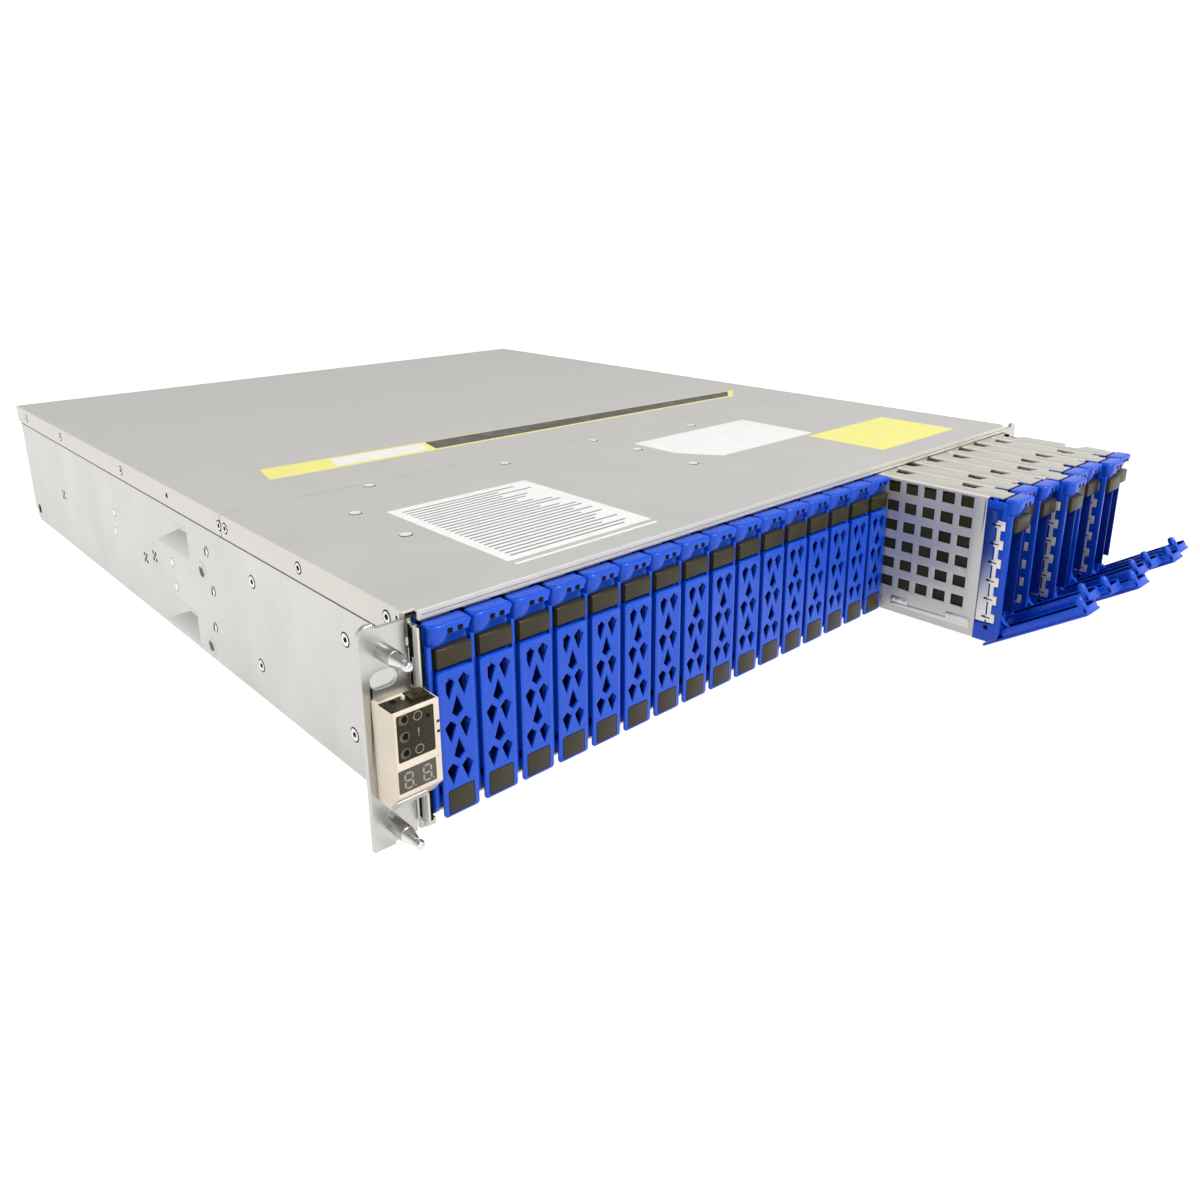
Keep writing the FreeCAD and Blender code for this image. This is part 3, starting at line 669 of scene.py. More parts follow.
def tray_clips(form):
    """Clips low on the side plate, the runner between them, a rivet, and a tab at the upper corner."""
    rivet = [(-0.1, 1.2), (0.3, 1.2), (0.38, 0.8)]
    dome = [(-0.1, 1.0), (0.15, 1.0), (0.28, 0.6), (0.3, 0.2)]
    clip_bottom, clip_middle, clip_top, rivet_inset = 10.6, 12.4, 14.2, 1.4
    runner_start, runner_end = bezel_rear + 2.5, bezel_rear + 48.0
    for y0, y1 in ((runner_start, bezel_rear + 15.5), (bezel_rear + 38.0, runner_end)):
        block(form, (tray_left - 0.35, y0, clip_bottom), (tray_left + 0.2, y1, clip_top), 0.17)
        for y in (y0 + rivet_inset, y1 - rivet_inset):
            turned(form, rivet, (tray_left - 0.3, y, clip_middle), TO_LEFT, 14)
    tab_rear, tab_top = bezel_rear + 1.3, carrier_top - 1.0
    block(form, (tray_left - 0.25, bezel_rear, 62.0), (tray_left + 0.3, tab_rear, tab_top), 0.15)
    turned(form, dome, (tray_left, bezel_rear + 54.0, 10.4), TO_LEFT)
    block(form, (tray_left - 0.3, runner_start, 8.7), (tray_left + 0.2, runner_end, 10.9), 0.15)


def drive(form):
    """Flash drive with a stepped lid, and a dark sheet that runs on from it to the bezel as painted shade
    behind the tray's openings.
    """
    length, thickness, lid = 100.2, 15.0, 1.0
    x0, x1 = tray_left + tray_sheet, tray_left + tray_sheet + thickness
    y0, z0, z1 = tray_rear - length, 7.775, 77.625
    block(form, (x0, y0, z0), (x1 - lid, tray_rear, z1), 0.6)
    block(form, (x1 - 1.2, y0 + 2, z0 + 2), (x1, tray_rear - 8, z1 - 2), 0.4)
    # Dark sheet behind the tray's front openings: painted shade.
    block(form, (x0 + 0.4, bezel_rear + 0.4, z0), (x0 + 0.8, y0 + 1.0, z1), 0.1)


# Lever, shut
def kite(x, top, points_down):
    """A kite on its long point, or the same kite turned over."""
    half, height, shoulder = 2.4, 8.8, 2.3
    waist = top - (shoulder if points_down else height - shoulder)
    return [(x, top), (x + half, waist), (x, top - height), (x - half, waist)]


lever_middle = (lever_left + lever_right) / 2
lever_back = bezel_front + lever_plate - 0.2
rail_left, rail_right = lever_left + 0.7, bezel_right - 1.8
field_middle = lever_bottom + 5.9
kite_rows, kite_pitch, kite_drop, kite_apart, kite_step = 3, 17.15, 2.7, 3.25, 7.8


def kite_outlines():
    """Openings in the lever's face: pairs of kites, with one turned over between two pairs."""
    outlines = []
    for row in range(kite_rows):
        top = lever_top - kite_drop - row * kite_pitch
        outlines += [kite(lever_middle + side * kite_apart, top, True) for side in (-1, 1)]
        if row < kite_rows - 1:
            outlines.append(kite(lever_middle, top - kite_step, False))
    return outlines


def lever_face(form):
    rim = rectangle(lever_left, lever_right, lever_bottom, lever_top, 1.4, 4)
    front_slab(form, [rim] + kite_outlines(), bezel_front, bezel_front + lever_plate, 0.3)


def lever_ribs(form):
    """Side rails, an end rib, and the hooked prong at the free end."""
    rail, rail_rear, rail_top = 1.2, bezel_front + 5.3, lever_top - 0.1
    for x in (rail_left, rail_right - rail):
        block(form, (x, lever_back, pivot.z + 1), (x + rail, rail_rear, rail_top), 0.4)
    block(form, (rail_left, lever_back, lever_top - 1.5), (rail_right, lever_back + 3.0, rail_top), 0.4)
    foot, tip, across, root = lever_top - 2.3, 2.4, rail_left + 2.6, lever_back + 5.6
    stem = [(lever_back - 0.2, 2.6), (lever_back + 0.8, 2.3), (lever_back + 2.4, 2.05), (root, 1.95)]
    stem += [(tip - 1.6, 1.9), (tip - 0.6, 1.55), (tip, 0.8)]
    turned(form, stem, (across, 0, foot), TO_REAR, 16)
    web = [(lever_back, foot - 7.0), (root, foot - 1.0), (root, foot + 0.6), (lever_back, foot + 1.2)]
    side_slab(form, [web], across - 0.8, across + 0.8, 0.35)


def lever_knuckle(form):
    """Two arms behind the face that turn on the carrier's pin."""
    width, arm_radius, bore = 2.8, 2.5, 1.1
    arm = [(lever_back, pivot.z + 6.0), (pivot.y - 2.2, pivot.z + arm_radius)]
    arm += arc(pivot.y, pivot.z, arm_radius, 90, -90, 10)
    arm.append((lever_back, pivot.z - arm_radius))
    for x in (rail_left, rail_right - width):
        side_slab(form, [arm, circle(pivot.y, pivot.z, bore, 16)], x, x + width, 0.2)
    block(form, (rail_left, lever_back, pivot.z + 1.0), (rail_right, lever_back + 2.6, pivot.z + 2.4), 0.3)


def lever_shade_sheet(form):
    """Dark sheet of painted shade behind the face between the rails, and on the rails' inner sides."""
    sheet, depth = 0.15, 3.7
    y0 = bezel_front + lever_plate
    left, right = lever_left + 1.8, bezel_right - 2.9
    bottom, top = pivot.z + 4.0, lever_top - 1.4
    loops = [rectangle(left, right, bottom, top)] + kite_outlines()
    front_slab(form, loops, y0 - 0.1, y0 + sheet, 0.02)
    for x in (left, right - sheet):
        block(form, (x, y0, bottom), (x + sheet, y0 + depth, top))


def field(form):
    """Blank dark field low on the lever, let into a shallow frame."""
    outline = about(lever_middle, field_middle, 11.0, 9.4, 0.7)
    front_slab(form, [outline], bezel_front - 0.06, bezel_front + 0.5, 0.05)


def field_frame(form):
    outline = about(lever_middle, field_middle, 11.6, 10.0, 0.9)
    front_slab(form, [outline], bezel_front - 0.02, bezel_front + 0.4, 0.02)


def made(name, material, *makers):
    """A mesh from the functions that add its forms."""
    form = bmesh.new()
    for make in makers:
        make(form)
    return mesh_of(form, name, material)


def build_carriers():
    """One set of meshes, shared by every bay and placed from its lever's hinge."""
    carrier_meshes = [made("bezel", BLUE, bezel_cap, bezel_side, bezel_pivot),
                      made("bezel_well", SHADE_WELL_BLUE, bezel_back), made("inlay", LINER, inlay),
                      made("tray", TRAY, tray_side, tray_flanges), made("tray_hem", GASKET, tray_hem),
                      made("tray_clips", EAR, tray_clips), made("drive", DRIVE, drive),
                      made("latch", LATCH, latch), made("gasket", GASKET, gasket),
                      made("cap_windows", DARK, cap_windows)]
    lever_meshes = [made("lever", BLUE, lever_face, lever_ribs, lever_knuckle),
                    made("lever_shade_sheet", SHADE_NAVY, lever_shade_sheet),
                    made("field", FIELD, field), made("field_frame", DARK, field_frame)]
    for mesh in lever_meshes:
        mesh.transform(Matrix.Translation(-pivot * MM))
    for joint in frame["joints"]:
        if not joint["name"].startswith("lever_"):
            continue
        number = joint["name"].split("_")[1]
        hinge = Vector(joint["pos_m"])
        bay = Matrix.Translation(hinge - pivot * MM)
        for mesh in carrier_meshes:
            obj = piece("%s_%s" % (mesh.name, number), mesh, "carrier_" + number, bay)
            if mesh.name == "bezel":
                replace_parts(obj, "drive_carrier_" + number)
        opened = -math.radians(joint["range_deg"][0])
        swung = Matrix.Translation(hinge) @ Matrix.Rotation(opened, 4, "X")
        for mesh in lever_meshes:
            obj = piece("%s_%s" % (mesh.name, number), mesh, "lever_" + number, swung)
            if mesh.name == "lever":
                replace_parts(obj, "drive_lever_" + number)


build_carriers()


# Turned studs on the ears
def studs():
    """Darker satin shank as painted shade, bright tapered shoulder and ball tip as painted highlight, in
    place of the plain studs.
    """
    stud_low, stud_high = (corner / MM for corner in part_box("bezel_studs"))
    radius = 3.0
    shank = [(-0.3, radius), (0.3, radius), (8.4, radius), (8.7, 2.85), (8.9, 2.6), (9.4, 2.5)]
    shoulder = [(9.0, 2.3), (9.2, 2.85), (14.6, 1.6), (14.8, 1.15), (15.4, 1.15), (15.6, 1.6)]
    shoulder += [(16.1, 1.95), (17.0, 2.0), (17.8, 1.65), (18.4, 0.95), (18.6, 0.3)]
    shanks, tips = bmesh.new(), bmesh.new()
    for x in (stud_low.x + radius, stud_high.x - radius):
        for z in (stud_low.z + radius, stud_high.z - radius):
            turned(shanks, shank, (x, stud_high.y, z), TO_FRONT, 28)
            turned(tips, shoulder, (x, stud_high.y, z), TO_FRONT, 28)
    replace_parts(fixed_piece("stud_shanks", shanks, SATIN), "bezel_studs")
    fixed_piece("stud_tips", tips, BRIGHT)


studs()


# Side walls: screws, rivets, dimples and hole clusters
def screw(head, gap, centre, axis, radius=2.9):
    """A countersunk head in a dark ring of painted shade, dished round its rim, with a six-point recess drawn
    dark as painted shade.
    """
    profile = [(-0.4, radius - 0.2), (0.16, radius - 0.2), (0.34, radius - 0.5)]
    profile += [(0.34, radius - 0.8), (0.22, radius - 1.0), (0.22, 0.4)]
    turned(head, profile, centre, axis)
    rod(gap, centre, axis, radius + 0.4, -0.2)
    reaches = [0.95, 1.35] * 6
    star = [(reach * math.cos(a), reach * math.sin(a)) for reach, a in zip(reaches, angles(12))]
    loft(gap, [stood([(x, y, along) for x, y in star], centre, axis) for along in (-0.1, 0.26)])


def hole_cluster(form, centre, axis):
    """Five small round holes, one at each corner and one in the middle."""
    for dy, dz in ((-2.0, 2.0), (2.0, 2.0), (0.0, 0.0), (-2.0, -2.0), (2.0, -2.0)):
        rod(form, Vector(centre) + Vector((0, dy, dz)), axis, 1.1, sides=14)


def side_fittings():
    """The left wall's fittings as the photo shows them, and the same on the right wall."""
    heads, gaps = bmesh.new(), bmesh.new()
    wall_screws = [(49, 59), (48, 18), (134, 59), (134, 17.7)]
    faint_screws = [(238.4, 40.8), (236.7, 27.4), (330, 48), (332, 36)]
    flange_screws = [(13.4, 80.1), (81.8, 80.1), (155, 79.6), (162, 79.4)]
    flange_screws += [(300, 79.8), (420, 79.8), (505, 79.8)]
    faint = [(-0.3, 2.2), (0.08, 2.2), (0.14, 1.9), (0.05, 1.3)]
    rivet = [(-0.3, 2.3), (0.3, 2.3), (0.6, 1.7), (0.66, 0.8)]
    slit = Vector((0.7, 0.7, 1.8))
    for side in (-1, 1):
        axis = (side, 0, 0)
        for y, z in wall_screws:
            screw(heads, gaps, (side * wall_x, front_y + y, z), axis)
        for y, z in faint_screws:
            place = (side * wall_x, front_y + y, z)
            turned(heads, faint, place, axis)
            rod(gaps, place, axis, 2.5)
        for y, z in flange_screws:
            screw(heads, gaps, (side * cover_x, front_y + y, z), axis, 2.4)
        for y, z in ((186.3, 60.1), (183.5, 40.1), (187, 19.8)):
            place = Vector((side * wall_x, front_y + y, z))
            turned(heads, rivet, place, axis)
            block(gaps, place - slit, place + slit)
            rod(gaps, place, axis, 2.7)
        for y, z in ((282.0, 32.0), (266.2, 36.9), (441.6, 35.9)):
            hole_cluster(gaps, (side * wall_x, front_y + y, z), axis)
        rod(gaps, (side * wall_x, front_y + 518.9, 9.0), axis, 3.5)
        rod(gaps, (side * cover_x, front_y + 228.6, 80), axis, 1.4)
    fixed_piece("side_screws", heads, SCREW)
    # The dark pieces are painted shade: rings round the heads, recesses, slits and the insides of holes.
    fixed_piece("side_hole_shade", gaps, DARK)


def dished_dimples():
    """Round dimples in the side walls: a raised rim, a dish inside it and a dark eye."""
    rims, eyes = bmesh.new(), bmesh.new()
    rim = [(-0.3, 6.0), (0.05, 5.9), (0.45, 5.0), (0.5, 4.4), (0.2, 3.4), (0.08, 2.2), (0.06, 1.0)]
    eye = [(-0.1, 3.3), (0.22, 3.2), (0.12, 2.4), (0.1, 1.2)]
    for side in (-1, 1):
        for y, z in ((195.8, 46.8), (195.6, 6.6)):
            turned(rims, rim, (side * wall_x, front_y + y, z), (side, 0, 0), 28)
            turned(eyes, eye, (side * wall_x, front_y + y - 0.3, z + 0.6), (side, 0, 0), 20)
    fixed_piece("dimple_rims", rims, WALL)
    fixed_piece("dimple_eyes", eyes, SEAM)


def side_block(form, side, low, high, edge=0.0):
    """A block at the left or right of the chassis, written as it stands on the right."""
    (x0, y0, z0), (x1, y1, z1) = low, high
    x0, x1 = sorted((side * x0, side * x1))
    block(form, (x0, y0, z0), (x1, y1, z1), edge)


def cover_seams():
    """Painted shadow under the covers' flanges, the fold line along the lip and slits at the front corners.
    """
    seams, slits = bmesh.new(), bmesh.new()
    start = front_y + 6.0
    gap_low, gap_high = cover_low.z - 1.7, cover_low.z - 0.02
    for side in (-1, 1):
        # The grey strip under each flange is a painted shadow.
        side_block(seams, side, (wall_x - 0.2, start, gap_low), (wall_x + 0.04, rear_y - 2.0, gap_high))
        side_block(slits, side, (cover_x - 0.5, start, 78.0), (cover_x + 0.02, front_y + 7.2, 82.6))
    inset, fold_low, fold_high = 6.0, top_z - 2.3, top_z - 2.05
    fold_start = (cover_low.x + inset, cover_low.y - 0.02, fold_low)
    block(seams, fold_start, (cover_high.x - inset, cover_low.y + 0.3, fold_high))
    fixed_piece("cover_seams", seams, SEAM)
    fixed_piece("cover_slits", slits, DARK)


def jamb_strips():
    """Edge strips beside the outer bays, dark blocks of painted shade in their gaps and notches, and the
    blocks at the ends of the sill with a dark joint line.
    """
    strips, gaps = bmesh.new(), bmesh.new()
    outer, inner, shadow = 221.85, 220.8, 219.7
    front, back = front_y - 3.4, front_y - 0.6
    deep = front_y + 2.5
    bottom, top = 3.2, 80.4
    left_spans = [(bottom, display_low.z - 1.0), (display_high.z + 0.4, top)]
    for side, spans, sill_end in ((-1, left_spans, 217.7), (1, [(bottom, top)], 219.8)):
        for z0, z1 in spans:
            side_block(strips, side, (outer, front, z0), (inner, back, z1), 0.3)
            side_block(gaps, side, (inner + 0.2, front + 0.3, z0 + 0.2), (shadow, back, z1 - 0.2))
            side_block(gaps, side, (outer - 0.4, front_y + 1.0, z0), (outer + 0.04, deep, z1))
        side_block(gaps, side, (outer - 0.4, front_y - 0.2, 68.6), (outer + 0.06, deep, top - 0.6))
        side_block(strips, side, (sill_end, front_y - 1.6, 0.4), (222.0, front_y + 0.4, 3.0), 0.25)
        side_block(gaps, side, (sill_end - 0.04, front_y - 1.2, 0.5), (sill_end + 0.3, front_y + 0.35, 2.9))
    fixed_piece("jamb_strips", strips, SHEET)
    fixed_piece("jamb_gap_shade", gaps, DARK)


side_fittings()
dished_dimples()
cover_seams()
jamb_strips()


# Top: rivets and blank stickers
film = 0.03


def patch(form, corners, z):
    flat_slab(form, [[(x, front_y + y) for x, y in corners]], z, z + film)


def top_rivets():
    """Punched rivets: a bright dished head, a painted highlight in the lighter gasket_plate metal, that sits
    off the centre of a dark disc of painted shadow.
    """
    heads, rings = bmesh.new(), bmesh.new()
    head = [(-0.3, 2.7), (0.03, 2.7), (0.06, 2.3), (0.05, 1.2), (0.03, 1.0)]
    for x, y in ((-148, 156), (-177, 118), (-177, 75), (-70, 145), (3, 153), (78, 141), (4.5, 73), (6, 118)):
        turned(heads, head, (x, front_y + y, top_z), TO_TOP)
        # The dark disc sits towards the front as a painted shadow.
        rod(rings, (x - 0.3, front_y + y - 0.7, top_z), TO_TOP, 3.0, end=0.01)
    fixed_piece("top_rivets", heads, GASKET)
    fixed_piece("rivet_shadows", rings, DARK)


def top_stickers():
    """Blank films, one of them with grey rules, and one with a dark and a white patch on it."""
    white, grey, yellow, black = (bmesh.new() for _ in range(4))
    rules = random.Random(7)
    patch(yellow, [(-180, 201), (179, 189.5), (199, 206), (-175, 225)], top_z)
    patch(black, [(-78, 200.5), (177, 192.5), (191, 205), (-74, 219)], top_z + film)
    patch(white, [(-140, 203.6), (-82, 201.7), (-78, 217.4), (-136, 219.8)], top_z + film)
    patch(white, rectangle(-166, -85, 17.7, 109), top_z)
    patch(white, rectangle(-165.5, -86, 12.6, 14.4), top_z)
    patch(white, [(30, 73), (115.5, 73), (115.5, 129), (14.4, 129), (14.4, 96), (22, 84)], top_z)
    patch(yellow, rectangle(106, 189, 18, 69.5), top_z)
    rule_count, rule_pitch, rule_width = 24, 3.5, 1.2
    for i in range(rule_count):
        y = 22 + i * rule_pitch
        end = -90 - rules.uniform(0, 22)
        patch(grey, rectangle(-161, end, y, y + rule_width), top_z + film)
    fixed_piece("white_stickers", white, WHITE_FILM)
    fixed_piece("sticker_rules", grey, GREY_INK)
    fixed_piece("yellow_stickers", yellow, YELLOW_FILM)
    fixed_piece("dark_sticker", black, BLACK_FILM)


top_rivets()
top_stickers()


# Status display: panels, lamp wells and two seven-segment digits
def display_face():
    """Dark panel and window on the housing's face, and the lid, post and small plate round it."""
    panel, window, hollow, ring, lamp, digit, post, plate = (bmesh.new() for _ in range(8))
    y = display_low.y
    front_slab(panel, [rectangle(-237.2, -222.4, 38.0, 55.7, 0.6)], y - 0.04, y + 0.5, 0.03)
    front_slab(window, [rectangle(-237.8, -222.6, 26.2, 35.0, 0.4)], y - 0.04, y + 0.5, 0.03)
    lamp_x, mark_x = -234.4, -228.8
    lamp_ring = [(-0.1, 1.95), (0.12, 1.95), (0.16, 1.75), (0.12, 1.6), (-0.1, 1.6)]
    mark_ring = [(-0.1, 1.75), (0.06, 1.75), (0.06, 1.5), (-0.1, 1.5)]
    # Lamp wells drawn as dark discs: painted shade.
    for z in (53.7, 47.2, 40.9):
        turned(ring, lamp_ring, (lamp_x, y, z), TO_FRONT, closed=True)
        rod(hollow, (lamp_x, y, z), TO_FRONT, 1.6, -0.2, 0.07)
        turned(lamp, [(-0.2, 1.4), (0.08, 1.4), (0.1, 1.0)], (lamp_x - 0.1, y, z), TO_FRONT)
        rod(hollow, (lamp_x + 0.3, y, z + 0.1), TO_FRONT, 1.2, -0.2, 0.13)
    rod(hollow, (-224.8, y, 52.0), TO_FRONT, 0.8, -0.2, 0.06, 14)
    for z in (48.3, 44.4):
        block(hollow, (-221.4, y - 0.03, z - 0.5), (-220.3, y + 0.3, z + 0.5))
    for x in (-233.7, -226.3):
        seven_segments(digit, x, 30.4, y)
    left, right, back = display_low.x + 0.15, display_high.x - 0.5, display_high.y - 4.6
    top, lid = display_high.z, 1.4
    flat_slab(panel, [rectangle(left, right, y + 0.9, back, 0.3)], top - lid, top + 0.02, 0.1)
    block(panel, (left + 9.4, y + 3.4, top - 0.1), (right - 1.0, back - 0.4, top + 1.3), 0.3)
    block(post, (left + 7.6, back - 3.4, top - 0.1), (left + 8.8, back - 2.2, top + 1.6), 0.25)
    rod(hollow, (left + 4.6, back - 2.0, top), TO_TOP, 1.3, -0.2, 0.05, 16)
    for z in (53.4, 40.7):
        turned(digit, mark_ring, (mark_x, y, z), TO_FRONT, closed=True)
    for z0, z1 in ((46.6, 48.8), (45.7, 46.1)):
        block(digit, (mark_x - 0.2, y - 0.06, z0), (mark_x + 0.2, y + 0.1, z1))
    slope = [(y + 1.6, 22.6), (y + 6.6, 17.4), (y + 6.3, 17.1), (y + 1.3, 22.3)]
    side_slab(plate, [slope], display_low.x + 0.3, display_low.x + 12.0)
    fixed_piece("display_plate", plate, SHEET)
    parts = [("panels", panel, PANEL), ("window", window, WINDOW), ("wells", hollow, DARK)]
    parts += [("rings", ring, LAMP_RING), ("lamps", lamp, LAMP), ("digits", digit, DIGIT)]
    parts.append(("post", post, BEIGE))
    for part, form, material in parts:
        fixed_piece("display_" + part, form, material)


def seven_segments(form, x, z, y):
    """All seven unlit bars of one digit and its point."""
    half, bar, tall, gap = 1.5, 0.35, 2.9, 0.3
    loops = []
    for level in (z - tall, z, z + tall):
        left, right = x - half + gap, x + half - gap
        loops.append([(left, level), (left + gap, level + bar), (right - gap, level + bar),
                      (right, level), (right - gap, level - bar), (left + gap, level - bar)])
    for across in (x - half, x + half):
        for level in (z - tall / 2, z + tall / 2):
            top, bottom = level + tall / 2 - gap, level - tall / 2 + gap
            loops.append([(across, bottom), (across + bar, bottom + gap), (across + bar, top - gap),
                          (across, top), (across - bar, top - gap), (across - bar, bottom + gap)])
    loops.append(circle(x + half + 0.9, z - tall, 0.35, 10))
    for loop in loops:
        front_slab(form, [loop], y - 0.06, y + 0.1)


display_face()


# Rear modules: sockets, vents, lamps, fans and thumb screws
def socket_frame(form, x, z, width, height, lip=0.9):
    """A thin frame round a socket in the rear face."""
    outer = about(x, z, width + 2 * lip, height + 2 * lip, 0.5)
    inner = about(x, z, width - 0.4, height - 0.4)
    front_slab(form, [outer, inner], rear_y - 0.4, rear_y + 0.3, 0.08)


def vents(form, x0, x1, z0, z1):
    """Staggered rows of six-sided vent holes."""
    pitch, radius = 4.2, 1.5
    for row in range(int((z1 - z0) / pitch) + 1):
        for column in range(int((x1 - x0) / pitch)):
            x = x0 + pitch * (column + 0.5 * (row % 2) + 0.25)
            rod(form, (x, rear_y, z0 + row * pitch), TO_REAR, radius, end=0.04, sides=6)


def module_pieces(name, parts):
    """Pieces that ride on a rear module."""
    for part, form, material, slot in parts:
        fixed_piece("%s_%s" % (name, part), form, material, name + "_body")


def controller_details(name):
    """Sockets with their tongues and lamps, vents and thumb screws on a controller's rear face."""
    low, high = (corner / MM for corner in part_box(name))
    middle = (low.z + high.z) / 2
    cages, tongues, holes, lamps, knobs = (bmesh.new() for _ in range(5))
    lamp = [(-0.2, 0.8), (0.2, 0.8), (0.35, 0.4)]
    knob = [(-0.3, 3.4), (0.5, 3.4), (0.7, 3.0), (1.2, 3.3), (3.2, 3.3), (3.6, 2.9), (3.7, 0.6)]
    port_width, port_height, jack_width, jack_height = 19.0, 9.0, 12.0, 11.0
    tongue_end = rear_y - 8.8
    for x in (-36.0, -12.0, 12.0, 36.0):
        socket_frame(cages, x, middle, port_width, port_height)
        block(tongues, (x - 7.0, tongue_end, middle - 0.8), (x + 7.0, rear_y - 2.5, middle + 0.8), 0.2)
        turned(lamps, lamp, (x, rear_y, middle + 7.5), TO_REAR, 12)
    for x in (-64.0, -80.0):
        socket_frame(cages, x, middle, jack_width, jack_height)
        block(tongues, (x - 4.0, tongue_end, middle - 4.6), (x + 4.0, rear_y - 3.0, middle - 3.2), 0.2)
        for side in (-4.0, 4.0):
            turned(lamps, lamp, (x + side, rear_y, middle + 8.4), TO_REAR, 12)
    # Vent holes drawn as dark discs: painted shade.
    for x0, x1 in ((-130.0, -92.0), (60.0, 130.0)):
        vents(holes, x0, x1, low.z + 17.0, high.z - 4.0)
    for x in (-56.0, 58.0):
        turned(knobs, knob, (x, rear_y, low.z + 7.5), TO_REAR, 24)
    parts = [("cages", cages, PORT, "module_steel"), ("tongues", tongues, BOARD, "circuit_board")]
    parts += [("vents", holes, DARK, "module_steel"), ("lamps", lamps, LAMP, "display_plastic")]
    module_pieces(name, parts + [("knobs", knobs, BRIGHT, "stud_metal")])


def fan_rotor(form, x, z):
    """Hub and seven raked blades inside the fan opening."""
    hub, tip, blades = 8.0, 19.6, 7
    y0, y1 = rear_y - 5.7, rear_y - 2.4
    turned(form, [(0, hub), (2.9, hub), (3.4, hub - 0.6), (3.5, 1.0)], (x, y0, z), TO_REAR, 28)
    for a in angles(blades):
        cos, sin = math.cos(a), math.sin(a)
        sections = []
        for radius, half in ((hub - 0.5, 2.6), (tip, 4.6)):
            points = ((-half, y0), (0.8 - half, y0), (half, y1), (half - 0.8, y1))
            sections.append([(x + radius * cos - t * sin, y, z + radius * sin + t * cos) for t, y in points])
        loft(form, sections)


def supply_details(name, side):
    """Fan with its guard rings, inlet with its pins, blank label and lamps on a power supply's rear face."""
    fan_x, fan_z = side * 192.5, 42.75
    inlet_x, inlet_z, width, height = side * 149.6, 21.1, 20.0, 27.0
    dark, pins, rings, label, lamps = (bmesh.new() for _ in range(5))
    socket_frame(dark, inlet_x, inlet_z, width, height, 1.4)
    lining = [about(inlet_x, inlet_z, width - play, height - play) for play in (0.2, 3.0)]
    front_slab(dark, lining, rear_y - 13.8, rear_y - 0.2)
    pin_x, pin_z = 1.0, 2.2
    for dx, dz in ((0.0, 6.0), (-4.5, -3.0), (4.5, -3.0)):
        x, z = inlet_x + dx, inlet_z + dz
        block(pins, (x - pin_x, rear_y - 13.9, z - pin_z), (x + pin_x, rear_y - 3.0, z + pin_z), 0.4)
    fan_rotor(dark, fan_x, fan_z)
    for radius in (10.0, 15.0, 20.0):
        ring = [(-1.6, radius - 0.6), (-0.4, radius - 0.6), (-0.4, radius + 0.6), (-1.6, radius + 0.6)]
        turned(rings, ring, (fan_x, rear_y, fan_z), TO_REAR, 40, closed=True)
    front_slab(label, [about(inlet_x, 52.0, 22.0, 12.0, 0.8)], rear_y - 0.2, rear_y + 0.05)
    for z in (64.0, 68.0):
        turned(lamps, [(-0.2, 1.0), (0.25, 1.0), (0.4, 0.5)], (inlet_x, rear_y, z), TO_REAR, 12)
    parts = [("fan_and_inlet", dark, GUIDE, "guide_plastic"), ("pins", pins, BRIGHT, "stud_metal")]
    parts += [("guard_rings", rings, MODULE, "module_steel"), ("label", label, WHITE_FILM, "module_steel")]
    module_pieces(name, parts + [("lamps", lamps, LAMP, "display_plastic")])


controller_details("controller_lower")
controller_details("controller_upper")
supply_details("power_supply_left", -1)
supply_details("power_supply_right", 1)


# Stage, light and camera
def grey_above(tree, low, high, grey):
    """White near the horizon, turning to grey higher up."""
    height = parts_of(tree, tree.nodes.new("ShaderNodeTexCoord").outputs["Generated"])[2]
    return ramp(tree, height, (1, 1, 1), (grey, grey, grey), low, high)


def seen_directly(tree):
    """One for the camera's rays and for what metal and glass show."""
    path = tree.nodes.new("ShaderNodeLightPath").outputs
    mirrored = worked(tree, "MAXIMUM", path["Is Glossy Ray"], path["Is Transmission Ray"])
    return worked(tree, "MAXIMUM", path["Is Camera Ray"], mirrored)


def seen_and_lit(tree, output, seen, lit):
    """Ends a tree with one shader for what is seen directly and another for the rest of the light."""
    sockets = {"Fac": seen_directly(tree), 1: lit.outputs[0], 2: seen.outputs[0]}
    wire(tree, tree.nodes[output], {"Surface": added(tree, "ShaderNodeMixShader", sockets).outputs[0]})


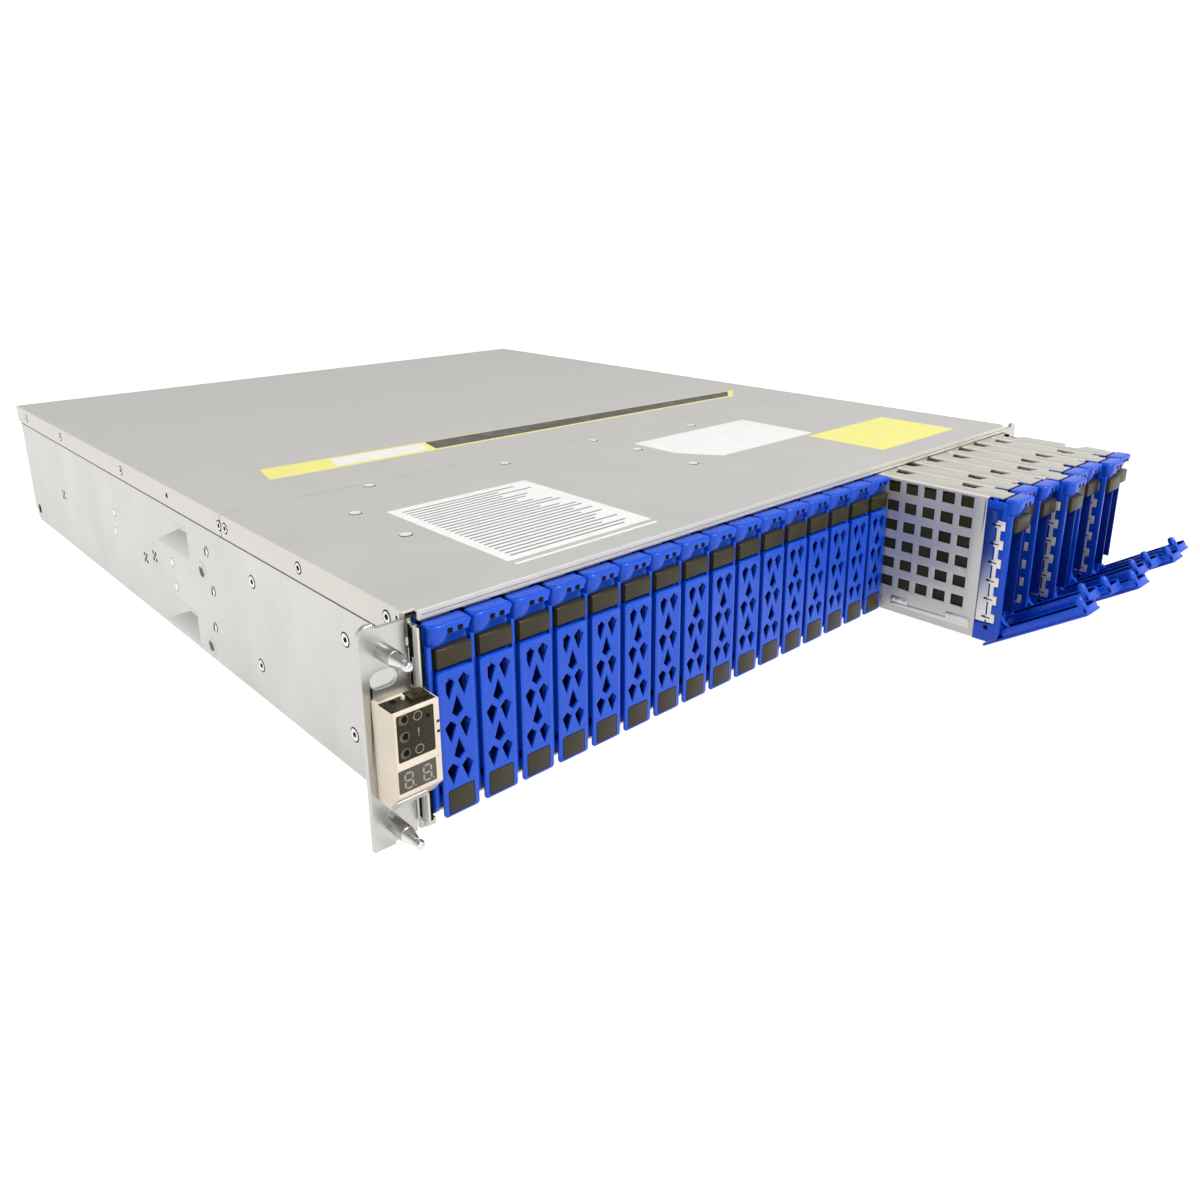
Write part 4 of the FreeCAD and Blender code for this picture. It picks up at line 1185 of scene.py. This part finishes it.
def floor():
    """A pale floor: white where it is seen, with the object's shadow kept in its diffuse share."""
    form = bmesh.new()
    size, underside = 6000, -8.0
    flat_slab(form, [rectangle(-size, size, -size, size)], underside, ear_low.z - 0.4)
    material, tree, shader = new_material("floor", (0.60, 0.60, 0.60), 0.0, 0.9)
    glow = added(tree, "ShaderNodeEmission", {"Strength": 0.95})
    veil = added(tree, "ShaderNodeBsdfDiffuse", {"Color": (0.32, 0.32, 0.32, 1)})
    white = added(tree, "ShaderNodeAddShader", {0: glow.outputs[0], 1: veil.outputs[0]})
    seen_and_lit(tree, "Material Output", white, shader)
    obj = in_scene("floor", mesh_of(form, "floor", material))


def world_light():
    """White for what the camera and reflections see, softer grey for the light it gives."""
    world = bpy.data.worlds.new("studio")
    world.use_nodes = True
    tree = world.node_tree
    seen = wire(tree, tree.nodes["Background"], {"Color": grey_above(tree, 0.26, 0.62, 0.35)})
    given = added(tree, "ShaderNodeBackground", {"Color": (1, 1, 1, 1), "Strength": 0.25})
    seen_and_lit(tree, "World Output", seen, given)
    bpy.context.scene.world = world


def soft_light(name, place, target, size, watts, mirrored=True):
    """An area lamp; one that is not mirrored leaves no glare on metal."""
    data = bpy.data.lights.new(name, "AREA")
    data.size = size
    data.energy = watts
    lamp = in_scene(name, data)
    lamp.location = place
    lamp.visible_glossy = mirrored
    lamp.rotation_euler = (Vector(target) - Vector(place)).to_track_quat("-Z", "Y").to_euler()


def photo_camera():
    """The photo's own viewpoint, found from the rack ears, bays and covers it shows."""
    image_size = 1200.0
    focal, centre = 964.70, (593.61, 509.98)
    place = Vector((-0.38203, -0.53456, 0.21549))
    right = Vector((0.73757, -0.67524, -0.00633))
    down = Vector((-0.20136, -0.21098, -0.95653))
    data = bpy.data.cameras.new("photo_camera")
    data.sensor_width = 36.0
    data.lens = focal * data.sensor_width / image_size
    data.shift_x = (image_size / 2 - centre[0]) / image_size
    data.shift_y = (centre[1] - image_size / 2) / image_size
    data.clip_start = 0.01
    camera = in_scene("photo_camera", data)
    back = right.cross(-down)
    turn = Matrix((right, -down, back)).transposed().to_4x4()
    camera.matrix_world = Matrix.Translation(place) @ turn
    bpy.context.scene.camera = camera


floor()
world_light()
soft_light("key", (0.25, -1.5, 1.75), (0.0, -0.2, 0.04), 0.8, 42)
soft_light("side", (-1.9, 0.55, 0.9), (-0.2, 0, 0.04), 1.0, 17, False)
soft_light("fill", (-1.2, -1.5, 0.7), (-0.2, -0.27, 0.04), 0.8, 4.5)
photo_camera()
bpy.context.scene.view_settings.view_transform = "Standard"
